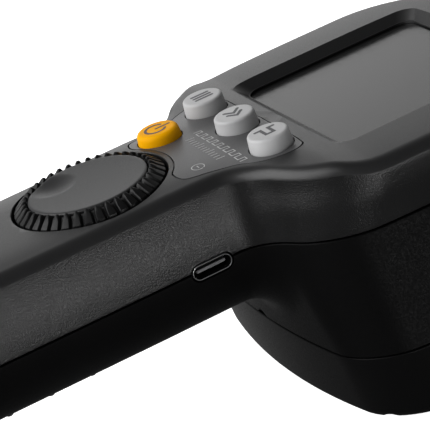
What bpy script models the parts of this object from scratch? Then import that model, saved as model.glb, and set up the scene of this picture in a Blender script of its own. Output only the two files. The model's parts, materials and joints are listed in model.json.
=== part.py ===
"""Handheld LED stroboscope: a two-shell housing with a battery handle, a display head and a lamp below it.

Dimensions are in millimetres from the point where the jog wheel's axis meets the face: X across, +Y towards
the head, Z up out of the face. ORIGIN moves them to the middle of the base that the lamp rim stands on.
"""

import math

import bmesh
import bpy
import numpy as np
from mathutils import Matrix, Vector

MM = 0.001
OBJECT_NAME = "led_stroboscope"

# Overall layout
HANDLE_END = -92.0
HEAD_FRONT = 104.0
RIM_FRONT = 105.0
BASE_Z = -58.4
RIM_TOP = -43.0
SEAM_Z = -17.1
HALF_SEAM = 0.15
RIM_ROUND = 1.8
WALL = 2.4
GAP = 0.3
ORIGIN = Vector((0.0, -(HANDLE_END + RIM_FRONT) / 2.0, -BASE_Z))

# The head's plan outline at five heights: rim base, rim joint, shell joint, upper wall, face edge
LEVELS = (BASE_Z, RIM_TOP, SEAM_Z, -10.0, -5.0)
HEAD_HALF_WIDTH = (46.0, 45.5, 40.8, 41.7, 41.9)
HEAD_BACK = (28.2, 27.0, 25.3, 25.6, 26.0)
HEAD_CORNER = (12.0, 11.7, 16.0, 19.0, 22.0)
BACK_BOW = (6.5, 5.0, 3.0, 2.7, 2.5)
SIDE_BOW = 2.7

# The handle, barrelled above the shell joint, and the fillet where it runs into the head
HANDLE_LEVELS = (SEAM_Z, -13.0, -9.0, -5.5, -2.2)
HANDLE_HALF_WIDTH = (22.0, 21.7, 21.15, 20.45, 19.7)
HANDLE_BOTTOM = -32.5
HANDLE_ROUND = 13.0
HANDLE_END_ROUND = 16.0
HANDLE_TAPER = 0.014
HANDLE_FRONT = 75.0
NECK_FILLET = 7.2
FACE_FILLET = 3.2
WALL_TILT = 14.0

# The face steps down from the handle to the head
FACE_STATIONS = (14.0, 35.0, 40.0, 42.0, 44.0, 52.0)
FACE_HEIGHTS = (0.0, -1.1, -1.4, -2.0, -2.5, -2.8)
HEAD_FACE = FACE_HEIGHTS[-1]

# Columns of the housing's skin: stations along the spine, and a fan round each end of it
SPINE_BACK = -70.0
SPINE_FRONT = 66.0
STATIONS = (
    -70, -40, -10, 10, 16, 19, 21.5, 23.5, 25, 26.2, 27.4, 28.6, 30, 32, 34.5, 37, 40, 42, 44, 50, 57,
    66,
)
BACK_FAN = (-90, -66, -44, -22)
FRONT_FAN = (12, 24, 34, 42, 50, 60, 75, 90)
SIDE_ROWS = 3
UNDER_ROWS = 7
FILLET_ROWS = 3

# Face features
WHEEL_HOLE_R = 16.9
WHEEL_R = 16.3
WHEEL_CAP_R = 12.9
WHEEL_TOP = 1.8
WHEEL_EDGE = -0.4
WHEEL_FLANGE = -WALL - GAP - 0.2
WHEEL_TEETH = 40
DIMPLE_XY = (-6.9, -5.3)
DIMPLE_R = 5.3
DIMPLE_DEEP = 0.6
SHAFT_R = 3.0
DISPLAY_HALF_X = 27.5
DISPLAY_Y = (44.9, 92.4)
DISPLAY_SLOPE = 2.4
DISPLAY_CORNER = 2.6
BUTTON_PITCH = 16.5
BUTTON_Y = 34.8
BUTTON_R = 4.6
BUTTON_RISE = 3.2
POWER_XY = (-10.4, 21.0)
POWER_R = 4.75
POWER_TOP = 2.1
LABEL_RECESS = 0.6
LABEL_THICK = 0.3
LABEL_ARC_R = 18.3

# Charging socket, in the right-hand side of the neck
USB_Y = 13.1
USB_Z = -17.5
USB_WIDE = 8.94
USB_HIGH = 3.26
USB_FACE_X = 21.9
USB_DEEP = 7.4

# Inside: key board and switches, battery
SWITCH_TOP = -9.4
KEY_BOARD_TOP = -12.6
BOARD_THICK = 1.6
CELL_Y = (-80.6, -16.1)
CELL_Z = -19.0
CELL_R = 9.2
LEAD_R = 0.8

# Lamp, from the lens up
LENS_HALF = (35.0, 30.0)
LENS_TOP = -52.9
LENS_BOTTOM = -55.4
LAMP_Y = 65.5
CUP_HIGH = 12.0
CUP_R = (9.0, 3.4)
LED_PITCH = (21.0, 19.0)
FIN_COUNT = 8

# Screws and the posts they run into
SHANK_HOLE_R = 1.8
PILOT_HOLE_R = 1.5
HEAD_HOLE_R = 3.1
BOSS_R = 3.2
HANDLE_POST_R = 3.8
RIM_POST_R = 3.5
RIM_SCREW_X = 35.9
RIM_SCREW_Y = (36.5, 95.6)

# Cutters reach this far past what they cut
PAST = 3.0

MATERIALS = {
    "shell_dark": ((0.030, 0.031, 0.033), 0.55, 0.0),
    "shell_black": ((0.018, 0.018, 0.019), 0.6, 0.0),
    "rim_black": ((0.026, 0.026, 0.028), 0.5, 0.0),
    "wheel_black": ((0.022, 0.022, 0.024), 0.5, 0.0),
    "wheel_grey": ((0.055, 0.056, 0.060), 0.38, 0.0),
    "key_grey": ((0.55, 0.55, 0.56), 0.5, 0.0),
    "key_orange": ((0.90, 0.36, 0.02), 0.5, 0.0),
    "label_film": ((0.07, 0.07, 0.075), 0.4, 0.0),
    "window": ((0.16, 0.17, 0.17), 0.08, 0.0),
    "lens_clear": ((0.75, 0.78, 0.80), 0.05, 0.0),
    "gasket_rubber": ((0.03, 0.03, 0.03), 0.8, 0.0),
    "reflector_bright": ((0.85, 0.85, 0.86), 0.12, 1.0),
    "board_green": ((0.02, 0.16, 0.07), 0.45, 0.0),
    "board_white": ((0.72, 0.73, 0.72), 0.5, 0.0),
    "led_yellow": ((0.85, 0.72, 0.22), 0.3, 0.0),
    "aluminium": ((0.62, 0.63, 0.65), 0.4, 1.0),
    "steel": ((0.58, 0.58, 0.60), 0.28, 1.0),
    "plastic_black": ((0.02, 0.02, 0.02), 0.45, 0.0),
    "cell_blue": ((0.03, 0.12, 0.35), 0.4, 0.0),
    "wire_red": ((0.6, 0.02, 0.02), 0.5, 0.0),
    "wire_black": ((0.02, 0.02, 0.02), 0.5, 0.0),
}


# ---------------------------------------------------------------- scene and materials


def clear_scene():
    for obj in list(bpy.data.objects):
        bpy.data.objects.remove(obj, do_unlink=True)


def new_collection(name):
    found = bpy.data.collections.new(name)
    bpy.context.scene.collection.children.link(found)
    return found


def material(name):
    found = bpy.data.materials.get(name)
    if found:
        return found
    colour, roughness, metallic = MATERIALS[name]
    found = bpy.data.materials.new(name)
    found.use_nodes = True
    shader = found.node_tree.nodes["Principled BSDF"]
    shader.inputs["Base Color"].default_value = (*colour, 1.0)
    shader.inputs["Roughness"].default_value = roughness
    shader.inputs["Metallic"].default_value = metallic
    return found


def finish_mesh(name, bm, look, collection, smooth=True):
    """Scales a bmesh drawn in millimetres to metres at the object's origin, and links it as an object."""
    bmesh.ops.translate(bm, verts=bm.verts, vec=ORIGIN)
    bmesh.ops.scale(bm, verts=bm.verts, vec=(MM, MM, MM))
    bmesh.ops.recalc_face_normals(bm, faces=bm.faces)
    mesh = bpy.data.meshes.new(name)
    bm.to_mesh(mesh)
    bm.free()
    obj = bpy.data.objects.new(name, mesh)
    collection.objects.link(obj)
    if look:
        mesh.materials.append(material(look))
    if smooth:
        mesh.shade_smooth()
        mesh.set_sharp_from_angle(angle=math.radians(35))
    if collection is CUTTERS:
        obj.hide_render = True
        obj.display_type = "WIRE"
    return obj


def boolean(target, tool, operation="DIFFERENCE"):
    step = target.modifiers.new(f"{operation.lower()} {tool.name}", "BOOLEAN")
    step.operation = operation
    step.object = tool
    step.solver = "EXACT"
    return step


def bevel(target, width, segments=2, angle=35):
    step = target.modifiers.new("edges", "BEVEL")
    step.width = width * MM
    step.segments = segments
    step.limit_method = "ANGLE"
    step.angle_limit = math.radians(angle)


# ---------------------------------------------------------------- plain shapes


def box(name, low, high, look=None, collection=None):
    low, high = Vector(low), Vector(high)
    bm = bmesh.new()
    bmesh.ops.create_cube(bm, size=1.0)
    size = high - low
    bmesh.ops.scale(bm, verts=bm.verts, vec=size)
    bmesh.ops.translate(bm, verts=bm.verts, vec=(low + high) / 2)
    return finish_mesh(name, bm, look, collection or (PARTS if look else CUTTERS), smooth=False)


def cylinder(name, radius, start, end, look=None, segments=24, tip_radius=None):
    """A round bar between two points, tapering to tip_radius where one is given."""
    start, end = Vector(start), Vector(end)
    bm = bmesh.new()
    bmesh.ops.create_cone(
        bm, cap_ends=True, segments=segments, radius1=radius,
        radius2=radius if tip_radius is None else tip_radius, depth=(end - start).length,
    )
    turn = Vector((0, 0, 1)).rotation_difference(end - start).to_matrix().to_4x4()
    bmesh.ops.transform(bm, matrix=Matrix.Translation((start + end) / 2) @ turn, verts=bm.verts)
    return finish_mesh(name, bm, look, PARTS if look else CUTTERS)


def turned(name, profile, centre, look=None, steps=32):
    """A profile of (radius, z) points, down its outer side, turned about the vertical axis at centre."""
    mesh = bpy.data.meshes.new(name)
    points = [(radius * MM, 0.0, z * MM) for radius, z in profile]
    mesh.from_pydata(points, [(i, i + 1) for i in range(len(points) - 1)], [])
    obj = bpy.data.objects.new(name, mesh)
    obj.location = (Vector((*centre, 0.0)) + ORIGIN) * MM
    (PARTS if look else CUTTERS).objects.link(obj)
    screw = obj.modifiers.new("turn", "SCREW")
    screw.steps = screw.render_steps = steps
    screw.use_merge_vertices = True
    screw.merge_threshold = 0.00001
    screw.use_smooth_shade = True
    if look:
        mesh.materials.append(material(look))
    else:
        obj.hide_render = True
        obj.display_type = "WIRE"
    return obj


def plate(name, outline, low, high, look=None, draped=False):
    """A flat outline extruded from low to high; a draped one follows the face's step."""
    curve = bpy.data.curves.new(name, "CURVE")
    curve.dimensions = "2D"
    curve.fill_mode = "BOTH"
    curve.extrude = (high - low) / 2
    spline = curve.splines.new("POLY")
    spline.points.add(len(outline) - 1)
    for point, (x, y) in zip(spline.points, outline):
        point.co = (x, y, 0.0, 1.0)
    spline.use_cyclic_u = True
    guide = bpy.data.objects.new(name, curve)
    bpy.context.scene.collection.objects.link(guide)
    graph = bpy.context.evaluated_depsgraph_get()
    mesh = bpy.data.meshes.new_from_object(guide.evaluated_get(graph))
    bpy.data.objects.remove(guide)
    bm = bmesh.new()
    bm.from_mesh(mesh)
    bpy.data.meshes.remove(mesh)
    bmesh.ops.remove_doubles(bm, verts=bm.verts, dist=0.0001)
    bmesh.ops.translate(bm, verts=bm.verts, vec=(0, 0, (low + high) / 2))
    if draped:
        for station in FACE_STATIONS:
            everything = bm.verts[:] + bm.edges[:] + bm.faces[:]
            bmesh.ops.bisect_plane(
                bm, geom=everything, plane_co=(0, station, 0), plane_no=(0, 1, 0)
            )
        for vert in bm.verts:
            vert.co.z += face_height(vert.co.y)
    bmesh.ops.triangulate(bm, faces=bm.faces)
    return finish_mesh(name, bm, look, PARTS if look else CUTTERS, smooth=False)


def rounded_rectangle(half_x, half_y, radius, centre=(0.0, 0.0), steps=5):
    points = []
    for corner, (sx, sy) in enumerate(((1, 1), (-1, 1), (-1, -1), (1, -1))):
        for step in range(steps + 1):
            angle = math.radians(90 * (corner + step / steps))
            points.append((
                centre[0] + sx * (half_x - radius) + radius * math.cos(angle),
                centre[1] + sy * (half_y - radius) + radius * math.sin(angle),
            ))
    return points


def wire(name, points, radius, look):
    """A lead along a smooth path through its points, with flat ends."""
    curve = bpy.data.curves.new(name, "CURVE")
    curve.dimensions = "3D"
    curve.bevel_depth = radius * MM
    curve.bevel_resolution = 2
    curve.use_fill_caps = True
    spline = curve.splines.new("POLY")
    path = smooth_path(points)
    spline.points.add(len(path) - 1)
    for point, place in zip(spline.points, path):
        point.co = (*((Vector(place) + ORIGIN) * MM), 1.0)
    obj = bpy.data.objects.new(name, curve)
    PARTS.objects.link(obj)
    curve.materials.append(material(look))
    return obj


def smooth_path(points, steps=3):
    """Catmull-Rom points through the given ones."""
    ends = [points[0], *points, points[-1]]
    path = []
    for i in range(1, len(ends) - 2):
        p0, p1, p2, p3 = (np.array(p, float) for p in ends[i - 1:i + 3])
        for step in range(steps):
            t = step / steps
            path.append(tuple(0.5 * (
                2 * p1 + (p2 - p0) * t + (2 * p0 - 5 * p1 + 4 * p2 - p3) * t**2
                + (3 * p1 - p0 - 3 * p2 + p3) * t**3
            )))
    path.append(tuple(float(v) for v in points[-1]))
    return path


# ---------------------------------------------------------------- the housing's skin


def face_height(y):
    return np.interp(y, FACE_STATIONS, FACE_HEIGHTS)


def rounded_corner(a, b, radius):
    """Distance outside the corner between two walls, rounded to radius."""
    inside = np.minimum(np.maximum(a, b) + radius, 0.0)
    return inside + np.hypot(np.maximum(a + radius, 0.0), np.maximum(b + radius, 0.0)) - radius


def filleted_join(a, b, radius):
    """Distance outside two joined bodies, with a fillet between them."""
    near = np.hypot(np.maximum(radius - a, 0.0), np.maximum(radius - b, 0.0))
    return np.maximum(radius, np.minimum(a, b)) - near


def head_distance(x, y, z, front=HEAD_FRONT):
    half_width = np.interp(z, LEVELS, HEAD_HALF_WIDTH)
    back = np.interp(z, LEVELS, HEAD_BACK)
    centre = (back + front) / 2
    half_length = (front - back) / 2
    side = np.abs(x) - (half_width - SIDE_BOW * ((y - centre) / half_length) ** 2)
    end = np.abs(y - centre) - (half_length - np.interp(z, LEVELS, BACK_BOW) * (x / half_width) ** 2)
    return rounded_corner(side, end, np.interp(z, LEVELS, HEAD_CORNER))


def handle_distance(x, y, z):
    half_width = np.interp(z, HANDLE_LEVELS, HANDLE_HALF_WIDTH) - HANDLE_TAPER * np.maximum(-y, 0.0)
    section = rounded_corner(np.abs(x) - half_width, HANDLE_BOTTOM - z, HANDLE_ROUND)
    ends = np.maximum(HANDLE_END - y, y - HANDLE_FRONT)
    return rounded_corner(section, ends, HANDLE_END_ROUND)


def skin_distance(x, y, z):
    return filleted_join(head_distance(x, y, z), handle_distance(x, y, z), NECK_FILLET)


def reach(distance, base, heading, far=130.0, rounds=34):
    """How far along each heading, from each base point, the skin is met."""
    low = np.zeros(len(base))
    high = np.full(len(base), far)
    for _ in range(rounds):
        middle = (low + high) / 2
        inside = distance(*(base + heading * middle[:, None]).T) < 0
        low = np.where(inside, middle, low)
        high = np.where(inside, high, middle)
    return base + heading * high[:, None]


def skin_columns():
    """Spine points and outward headings of the right side's columns, from the handle's end to the front."""
    columns = [(SPINE_BACK, angle) for angle in BACK_FAN]
    columns += [(station, 0.0) for station in STATIONS]
    columns += [(SPINE_FRONT, angle) for angle in FRONT_FAN]
    spine = np.array([(0.0, y, 0.0) for y, _ in columns])
    turn = np.radians([angle for _, angle in columns])
    heading = np.c_[np.cos(turn), np.sin(turn), 0.0 * turn]
    heading[np.abs(heading) < 1e-9] = 0.0
    return spine, heading


def skin_rows(inset, floor):
    """Rows of points over the housing's right half, inset from its skin, from the face down to the floor."""
    spine, heading = skin_columns()

    def distance(x, y, z):
        return skin_distance(x, y, z) + inset

    def at_height(z):
        return reach(distance, spine + np.array([0, 0, 1.0]) * z[:, None], heading)

    count = len(spine)
    fillet = max(FACE_FILLET - inset, 0.3)
    tilt = math.radians(WALL_TILT)
    edge = at_height(np.full(count, -FACE_FILLET))
    top = face_height(edge[:, 1]) - inset
    rows = [np.c_[spine[:, :2], face_height(spine[:, 1]) - inset]]
    start = top - fillet * (1 - math.sin(tilt))
    wall_top = at_height(start)
    for step in range(FILLET_ROWS, -1, -1):
        angle = tilt + (math.radians(90) - tilt) * step / FILLET_ROWS
        row = wall_top - heading * fillet * (math.cos(tilt) - math.cos(angle))
        row[:, 2] = face_height(row[:, 1]) - inset - fillet * (1 - math.sin(angle))
        rows.append(row)
    for step in range(1, SIDE_ROWS):
        rows.append(at_height(start + (SEAM_Z - start) * step / SIDE_ROWS))
    centre = spine + np.array([0, 0, SEAM_Z])
    down = np.array([0.0, 0.0, -1.0])
    rim = reach(distance, spine + np.array([0, 0, floor]), heading)
    across = np.linalg.norm((rim - spine)[:, :2], axis=1)
    lowest = np.minimum(np.arctan2(SEAM_Z - floor, across), math.radians(84))
    for step in range(UNDER_ROWS + 1):
        angle = (lowest * step / UNDER_ROWS)[:, None]
        ray = heading * np.cos(angle) + down * np.sin(angle)
        hit = reach(distance, centre, ray)
        rows.append(clip_to_floor(hit, centre, floor))
    hit = reach(distance, centre, np.tile(down, (count, 1)))
    rows.append(clip_to_floor(hit, centre, floor))
    return rows


def clip_to_floor(hit, centre, floor):
    """Points below the floor come back up their ray to it."""
    drop = centre[:, 2] - hit[:, 2]
    share = np.where(hit[:, 2] < floor, (centre[:, 2] - floor) / np.maximum(drop, 1e-6), 1.0)
    return centre + (hit - centre) * share[:, None]


def housing_body(name, inset, floor):
    """The housing's whole form as one closed body, inset from its skin: the outer block or the hollow."""
    rows = np.array(skin_rows(inset, floor))
    bm = bmesh.new()
    for side in (1, -1):
        grid = [[bm.verts.new((side * p[0], p[1], p[2])) for p in row] for row in rows]
        for upper, lower in zip(grid, grid[1:]):
            for i in range(len(upper) - 1):
                corners = [upper[i], upper[i + 1], lower[i + 1], lower[i]]
                bm.faces.new(corners if side > 0 else corners[::-1])
    bmesh.ops.remove_doubles(bm, verts=bm.verts, dist=0.001)
    bmesh.ops.dissolve_degenerate(bm, edges=bm.edges, dist=0.001)
    bmesh.ops.triangulate(bm, faces=bm.faces)
    return finish_mesh(name, bm, None, CUTTERS)


def rim_body(name, low, high, edge, look):
    """A closed body with the lamp rim's plan outline, its lower edge rounded."""
    levels = [(high, 0.0), (low + edge, 0.0)]
    for angle in np.radians((30, 60, 90)):
        levels.append((low + edge * (1 - math.sin(angle)), edge * (1 - math.cos(angle))))
    bm = bmesh.new()
    rings = []
    for z, pull in levels:
        angles = np.radians(np.array(rim_angles()))
        heading = np.c_[np.cos(angles), np.sin(angles), 0 * angles]
        base = np.tile((0.0, LAMP_Y, max(z, BASE_Z)), (len(angles), 1))

        def distance(x, y, level, pull=pull):
            return head_distance(x, y, level, RIM_FRONT) + pull

        points = reach(distance, base, heading)
        rings.append([bm.verts.new((x, y, z)) for x, y, _ in points])
    for upper, lower in zip(rings, rings[1:]):
        for i in range(len(upper)):
            j = (i + 1) % len(upper)
            bm.faces.new([upper[j], upper[i], lower[i], lower[j]])
    bm.faces.new(rings[0])
    bm.faces.new(rings[-1][::-1])
    bmesh.ops.triangulate(bm, faces=bm.faces)
    return finish_mesh(name, bm, look, PARTS)


def rim_angles():
    """Directions round the lamp: close together at the corners."""
    quarter = (0, 14, 27, 34, 38, 42, 46, 50, 56, 64, 77)
    return [90 * turn + angle for turn in range(4) for angle in quarter]


# ---------------------------------------------------------------- face openings


def label_outline(gap=0.0):
    """The printed film round the keys: a shield whose lower edge runs round the wheel."""
    arc_radius = LABEL_ARC_R + gap
    right = [
        (21.5 - gap, 39.3 - gap), (22.6 - gap, 38.1 - gap), (22.9 - gap, 36.2), (22.3 - gap, 32.8),
        (20.6 - gap, 29.2), (18.0 - gap, 25.8), (16.3 - gap, 20.5), (15.7 - gap, 17.6), (14.9 - gap, 15.7 + gap),
        (13.2, 14.9 + gap * 1.2),
    ]
    start = math.degrees(math.atan2(right[-1][1], right[-1][0])) + 6
    lower = [
        (arc_radius * math.cos(math.radians(a)), arc_radius * math.sin(math.radians(a)))
        for a in np.linspace(start, 180 - start, 9)
    ]
    left = [(-x, y) for x, y in reversed(right)]
    top = [(x, 40.3 - gap - 0.0013 * x * x) for x in (-19.6, -12.0, 0.0, 12.0, 19.6)]
    return (right + lower + left + top)[::-1]


def display_cutter():
    """The sloping window opening, through the face."""
    half_y = (DISPLAY_Y[1] - DISPLAY_Y[0]) / 2
    centre = (0.0, (DISPLAY_Y[0] + DISPLAY_Y[1]) / 2)
    margin = 1.0
    reach_out = margin * DISPLAY_SLOPE / WALL
    levels = (
        (margin + PAST, reach_out + PAST * DISPLAY_SLOPE / WALL),
        (-WALL, -DISPLAY_SLOPE),
        (-WALL - margin, -DISPLAY_SLOPE),
    )
    bm = bmesh.new()
    rings = []
    for z, grow in levels:
        corner = DISPLAY_CORNER + max(grow, -1.2)
        ring = rounded_rectangle(DISPLAY_HALF_X + grow, half_y + grow, corner, centre)
        rings.append([bm.verts.new((x, y, HEAD_FACE + z)) for x, y in ring])
    for upper, lower in zip(rings, rings[1:]):
        for i in range(len(upper)):
            j = (i + 1) % len(upper)
            bm.faces.new([upper[j], upper[i], lower[i], lower[j]])
    bm.faces.new(rings[0])
    bm.faces.new(rings[-1][::-1])
    return finish_mesh("display_cutter", bm, None, CUTTERS, smooth=False)


def button_places():
    """Name, x, y, radius and colour of each push button."""
    row = [
        (f"{side}_button", x, BUTTON_Y, BUTTON_R, "key_grey")
        for side, x in (("left", -BUTTON_PITCH), ("centre", 0.0), ("right", BUTTON_PITCH))
    ]
    return [("power_button", *POWER_XY, POWER_R, "key_orange"), *row]


def socket_cutter(name, gap):
    """The charging socket's slot in the side wall, with rounded ends."""
    half = USB_HIGH / 2 + gap
    run = USB_WIDE / 2 - USB_HIGH / 2
    ends = []
    for sign in (-1, 1):
        y = USB_Y + sign * run
        inner, outer = (USB_FACE_X - 5.0, y, USB_Z), (USB_FACE_X + PAST, y, USB_Z)
        ends.append(cylinder(f"{name}_end_{sign + 2}", half, inner, outer))
    low = (USB_FACE_X - 5.0, USB_Y - run, USB_Z - half)
    high = (USB_FACE_X + PAST, USB_Y + run, USB_Z + half)
    middle = box(name, low, high)
    for end in ends:
        boolean(middle, end, "UNION")
    return middle


# ---------------------------------------------------------------- housing parts


def make_shells():
    block = housing_body("housing_block", 0.0, RIM_TOP - 6)
    hollow = housing_body("housing_hollow", WALL, RIM_TOP - 8)
    slot = socket_cutter("socket_slot", GAP)
    upper = copy_as_part(block, "upper_shell", "shell_dark")
    boolean(upper, slab("below_seam", BASE_Z - PAST, SEAM_Z + HALF_SEAM))
    boolean(upper, hollow)
    boolean(upper, plate("label_recess", label_outline(-GAP), -LABEL_RECESS, PAST, draped=True))
    boolean(upper, display_cutter())
    boolean(upper, cylinder("wheel_hole", WHEEL_HOLE_R, (0, 0, -6), (0, 0, 4), segments=48))
    for name, x, y, radius, _ in button_places():
        boolean(upper, cylinder(f"{name}_hole", radius + GAP, (x, y, -9), (x, y, 4)))
    boolean(upper, slot)
    lower = copy_as_part(block, "lower_shell", "shell_black")
    boolean(lower, slab("above_seam", SEAM_Z - HALF_SEAM, 10))
    boolean(lower, hollow)
    boolean(lower, slab("below_rim_joint", BASE_Z - 15, RIM_TOP + HALF_SEAM))
    add_grip_ribs(lower)
    add_posts(upper, lower)
    boolean(lower, slot)
    return upper, lower


def slab(name, low, high):
    """A cutter wider and longer than the whole housing, between two heights."""
    return box(name, (-80, HANDLE_END - 20, low), (80, RIM_FRONT + 20, high))


def copy_as_part(source, name, look):
    obj = bpy.data.objects.new(name, source.data.copy())
    obj.data.materials.append(material(look))
    PARTS.objects.link(obj)
    return obj


def add_grip_ribs(lower):
    """Low ribs across the underside of the handle."""
    for i in range(6):
        y = -15.1 - 9.5 * i
        outline = rounded_rectangle(12.0, 1.0, 0.9, (0.0, y), steps=2)
        rib = plate(f"grip_rib_{i + 1}", outline, HANDLE_BOTTOM - 0.45, HANDLE_BOTTOM + 1.2)
        boolean(lower, rib, "UNION")


def housing_screw_places():
    """Where each handle screw is, and how far its post's foot is above the handle's lowest line."""
    return [(0.0, HANDLE_END + 7.0, 3.0), (0.0, 20.5, 0.0)]


def add_posts(upper, lower):
    """Screw posts: two on the centre line of the handle, four in the head's corners."""
    for i, (x, y, lift) in enumerate(housing_screw_places(), 1):
        foot = HANDLE_BOTTOM + lift
        boss = upright(f"handle_boss_{i}", BOSS_R, x, y, SEAM_Z + 0.5, -1.2, 12)
        boolean(upper, boss, "UNION")
        boolean(upper, upright(f"handle_pilot_{i}", PILOT_HOLE_R, x, y, SEAM_Z - PAST, -6.0, 8))
        post = upright(f"handle_post_{i}", HANDLE_POST_R, x, y, foot + 1.2, SEAM_Z - 0.4, 12)
        boolean(lower, post, "UNION")
        boolean(lower, upright(f"handle_shank_{i}", SHANK_HOLE_R, x, y, foot - 5.0, SEAM_Z + PAST, 8))
        boolean(lower, upright(f"handle_head_{i}", HEAD_HOLE_R, x, y, foot - 5.0, foot + 3.2, 12))
    for i, (x, y) in enumerate(rim_screw_places(), 1):
        post = upright(f"rim_post_{i}", RIM_POST_R, x, y, RIM_TOP + 0.6, RIM_TOP + 6.0, 12)
        boolean(lower, post, "UNION")
        boolean(lower, upright(f"rim_pilot_{i}", PILOT_HOLE_R, x, y, RIM_TOP - PAST, RIM_TOP + 5.2, 8))


def upright(name, radius, x, y, low, high, segments):
    """A round cutter or post standing on end."""
    return cylinder(name, radius, (x, y, low), (x, y, high), segments=segments)


def rim_screw_places():
    return [(x, y) for x in (-RIM_SCREW_X, RIM_SCREW_X) for y in RIM_SCREW_Y]


def make_rim():
    rim = rim_body("lamp_rim", BASE_Z, RIM_TOP - HALF_SEAM, RIM_ROUND, "rim_black")
    opening = rounded_rectangle(LENS_HALF[0] - 2.2, LENS_HALF[1] - 2.2, 7.0, (0.0, LAMP_Y))
    boolean(rim, plate("lamp_opening", opening, BASE_Z - PAST, RIM_TOP + PAST))
    seat = rounded_rectangle(LENS_HALF[0] + 0.5, LENS_HALF[1] + 0.5, 8.0, (0.0, LAMP_Y))
    boolean(rim, plate("lens_seat", seat, LENS_BOTTOM - GAP, RIM_TOP + PAST))
    for i, (x, y) in enumerate(rim_screw_places(), 1):
        boolean(rim, upright(f"rim_shank_{i}", SHANK_HOLE_R, x, y, BASE_Z - PAST, RIM_TOP + PAST, 8))
        boolean(rim, upright(f"rim_head_{i}", HEAD_HOLE_R, x, y, BASE_Z - PAST, BASE_Z + 2.6, 12))
    return rim


def make_screws():
    for i, (x, y, lift) in enumerate(housing_screw_places(), 1):
        screw(f"housing_screw_{i}", x, y, HANDLE_BOTTOM + lift + 2.9, 21.0 - lift)
    for i, (x, y) in enumerate(rim_screw_places(), 1):
        screw(f"rim_screw_{i}", x, y, BASE_Z + 2.3, 17.3)


def screw(name, x, y, seat, length):
    """A pan-head screw driven upwards, its head below the seat height."""
    profile = [
        (0.0, seat + length), (0.9, seat + length), (1.2, seat + length - 0.6), (1.2, seat),
        (2.7, seat), (2.7, seat - 1.2), (2.1, seat - 1.9), (0.9, seat - 2.0), (0.9, seat - 1.1),
        (0.0, seat - 1.1),
    ]
    turned(name, profile, (x, y), "steel", steps=8)


# ---------------------------------------------------------------- face parts


def make_display():
    centre = (0.0, (DISPLAY_Y[0] + DISPLAY_Y[1]) / 2)
    half_y = (DISPLAY_Y[1] - DISPLAY_Y[0]) / 2
    top = HEAD_FACE - WALL - GAP
    outline = rounded_rectangle(DISPLAY_HALF_X + 1.2, half_y + 1.2, 2.5, centre, steps=3)
    plate("display_window", outline, top - 1.5, top, "window")
    below = top - 1.5 - GAP
    gasket = plate("display_gasket", outline, below - 1.0, below, "gasket_rubber")
    inner = rounded_rectangle(DISPLAY_HALF_X - 2.2, half_y - 2.2, 1.5, centre, steps=3)
    boolean(gasket, plate("display_gasket_hole", inner, below - 2.0, below + 1.0))
    below -= 1.0 + GAP
    low, high = (-30, centre[1] - 24, below - 3.6), (30, centre[1] + 24, below)
    lcd = box("lcd_module", low, high, "plastic_black")
    bevel(lcd, 0.4, 1)
    below -= 3.6 + 1.0
    board = box("main_board", (-31, 44.0, below - BOARD_THICK), (31, 96.0, below), "board_green")
    bevel(board, 0.4, 1)


def make_label():
    film = plate("keypad_label", label_outline(), -LABEL_THICK, 0.0, "label_film", draped=True)
    for name, x, y, radius, _ in button_places():
        boolean(film, cylinder(f"{name}_film_hole", radius + GAP, (x, y, -9), (x, y, 4)))


def make_buttons():
    for name, x, y, radius, look in button_places():
        face = float(face_height(y))
        inner = face - WALL
        top = POWER_TOP if name == "power_button" else face + BUTTON_RISE
        skirt = inner - GAP - 0.2
        foot = SWITCH_TOP + 0.9
        profile = [
            (0.0, top), (radius - 1.5, top), (radius - 0.8, top - 0.25), (radius - 0.35, top - 0.9),
            (radius, face), (radius, skirt), (radius + 0.6, skirt), (radius + 0.6, skirt - 0.8),
            (2.2, skirt - 0.8), (2.2, foot), (0.0, foot),
        ]
        turned(name, profile, (x, y), look, steps=22)
        switch_box(name.replace("button", "switch"), x, y)


def switch_box(name, x, y):
    """A tactile switch below its button: a square body with a round plunger."""
    body = box(name, (x - 3, y - 3, KEY_BOARD_TOP + GAP), (x + 3, y + 3, SWITCH_TOP - 1.0), "plastic_black")
    plunger = upright(f"{name}_plunger", 1.7, x, y, SWITCH_TOP - 1.6, SWITCH_TOP, 14)
    boolean(body, plunger, "UNION")


def make_key_board():
    outline = [
        (-17, 14), (-9, 11), (-8, -8), (8, -8.5), (9, 11.5), (17, 14.5), (17.8, 24),
        (22, 29), (22, 41), (-22, 41), (-22, 29), (-17.8, 24),
    ]
    board = plate("keypad_board", outline, KEY_BOARD_TOP - BOARD_THICK, KEY_BOARD_TOP, "board_green")
    x, y, _ = housing_screw_places()[1]
    low, high = KEY_BOARD_TOP - PAST, KEY_BOARD_TOP + PAST
    boolean(board, upright("keypad_board_hole", HANDLE_POST_R, x, y, low, high, 16))


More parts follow.
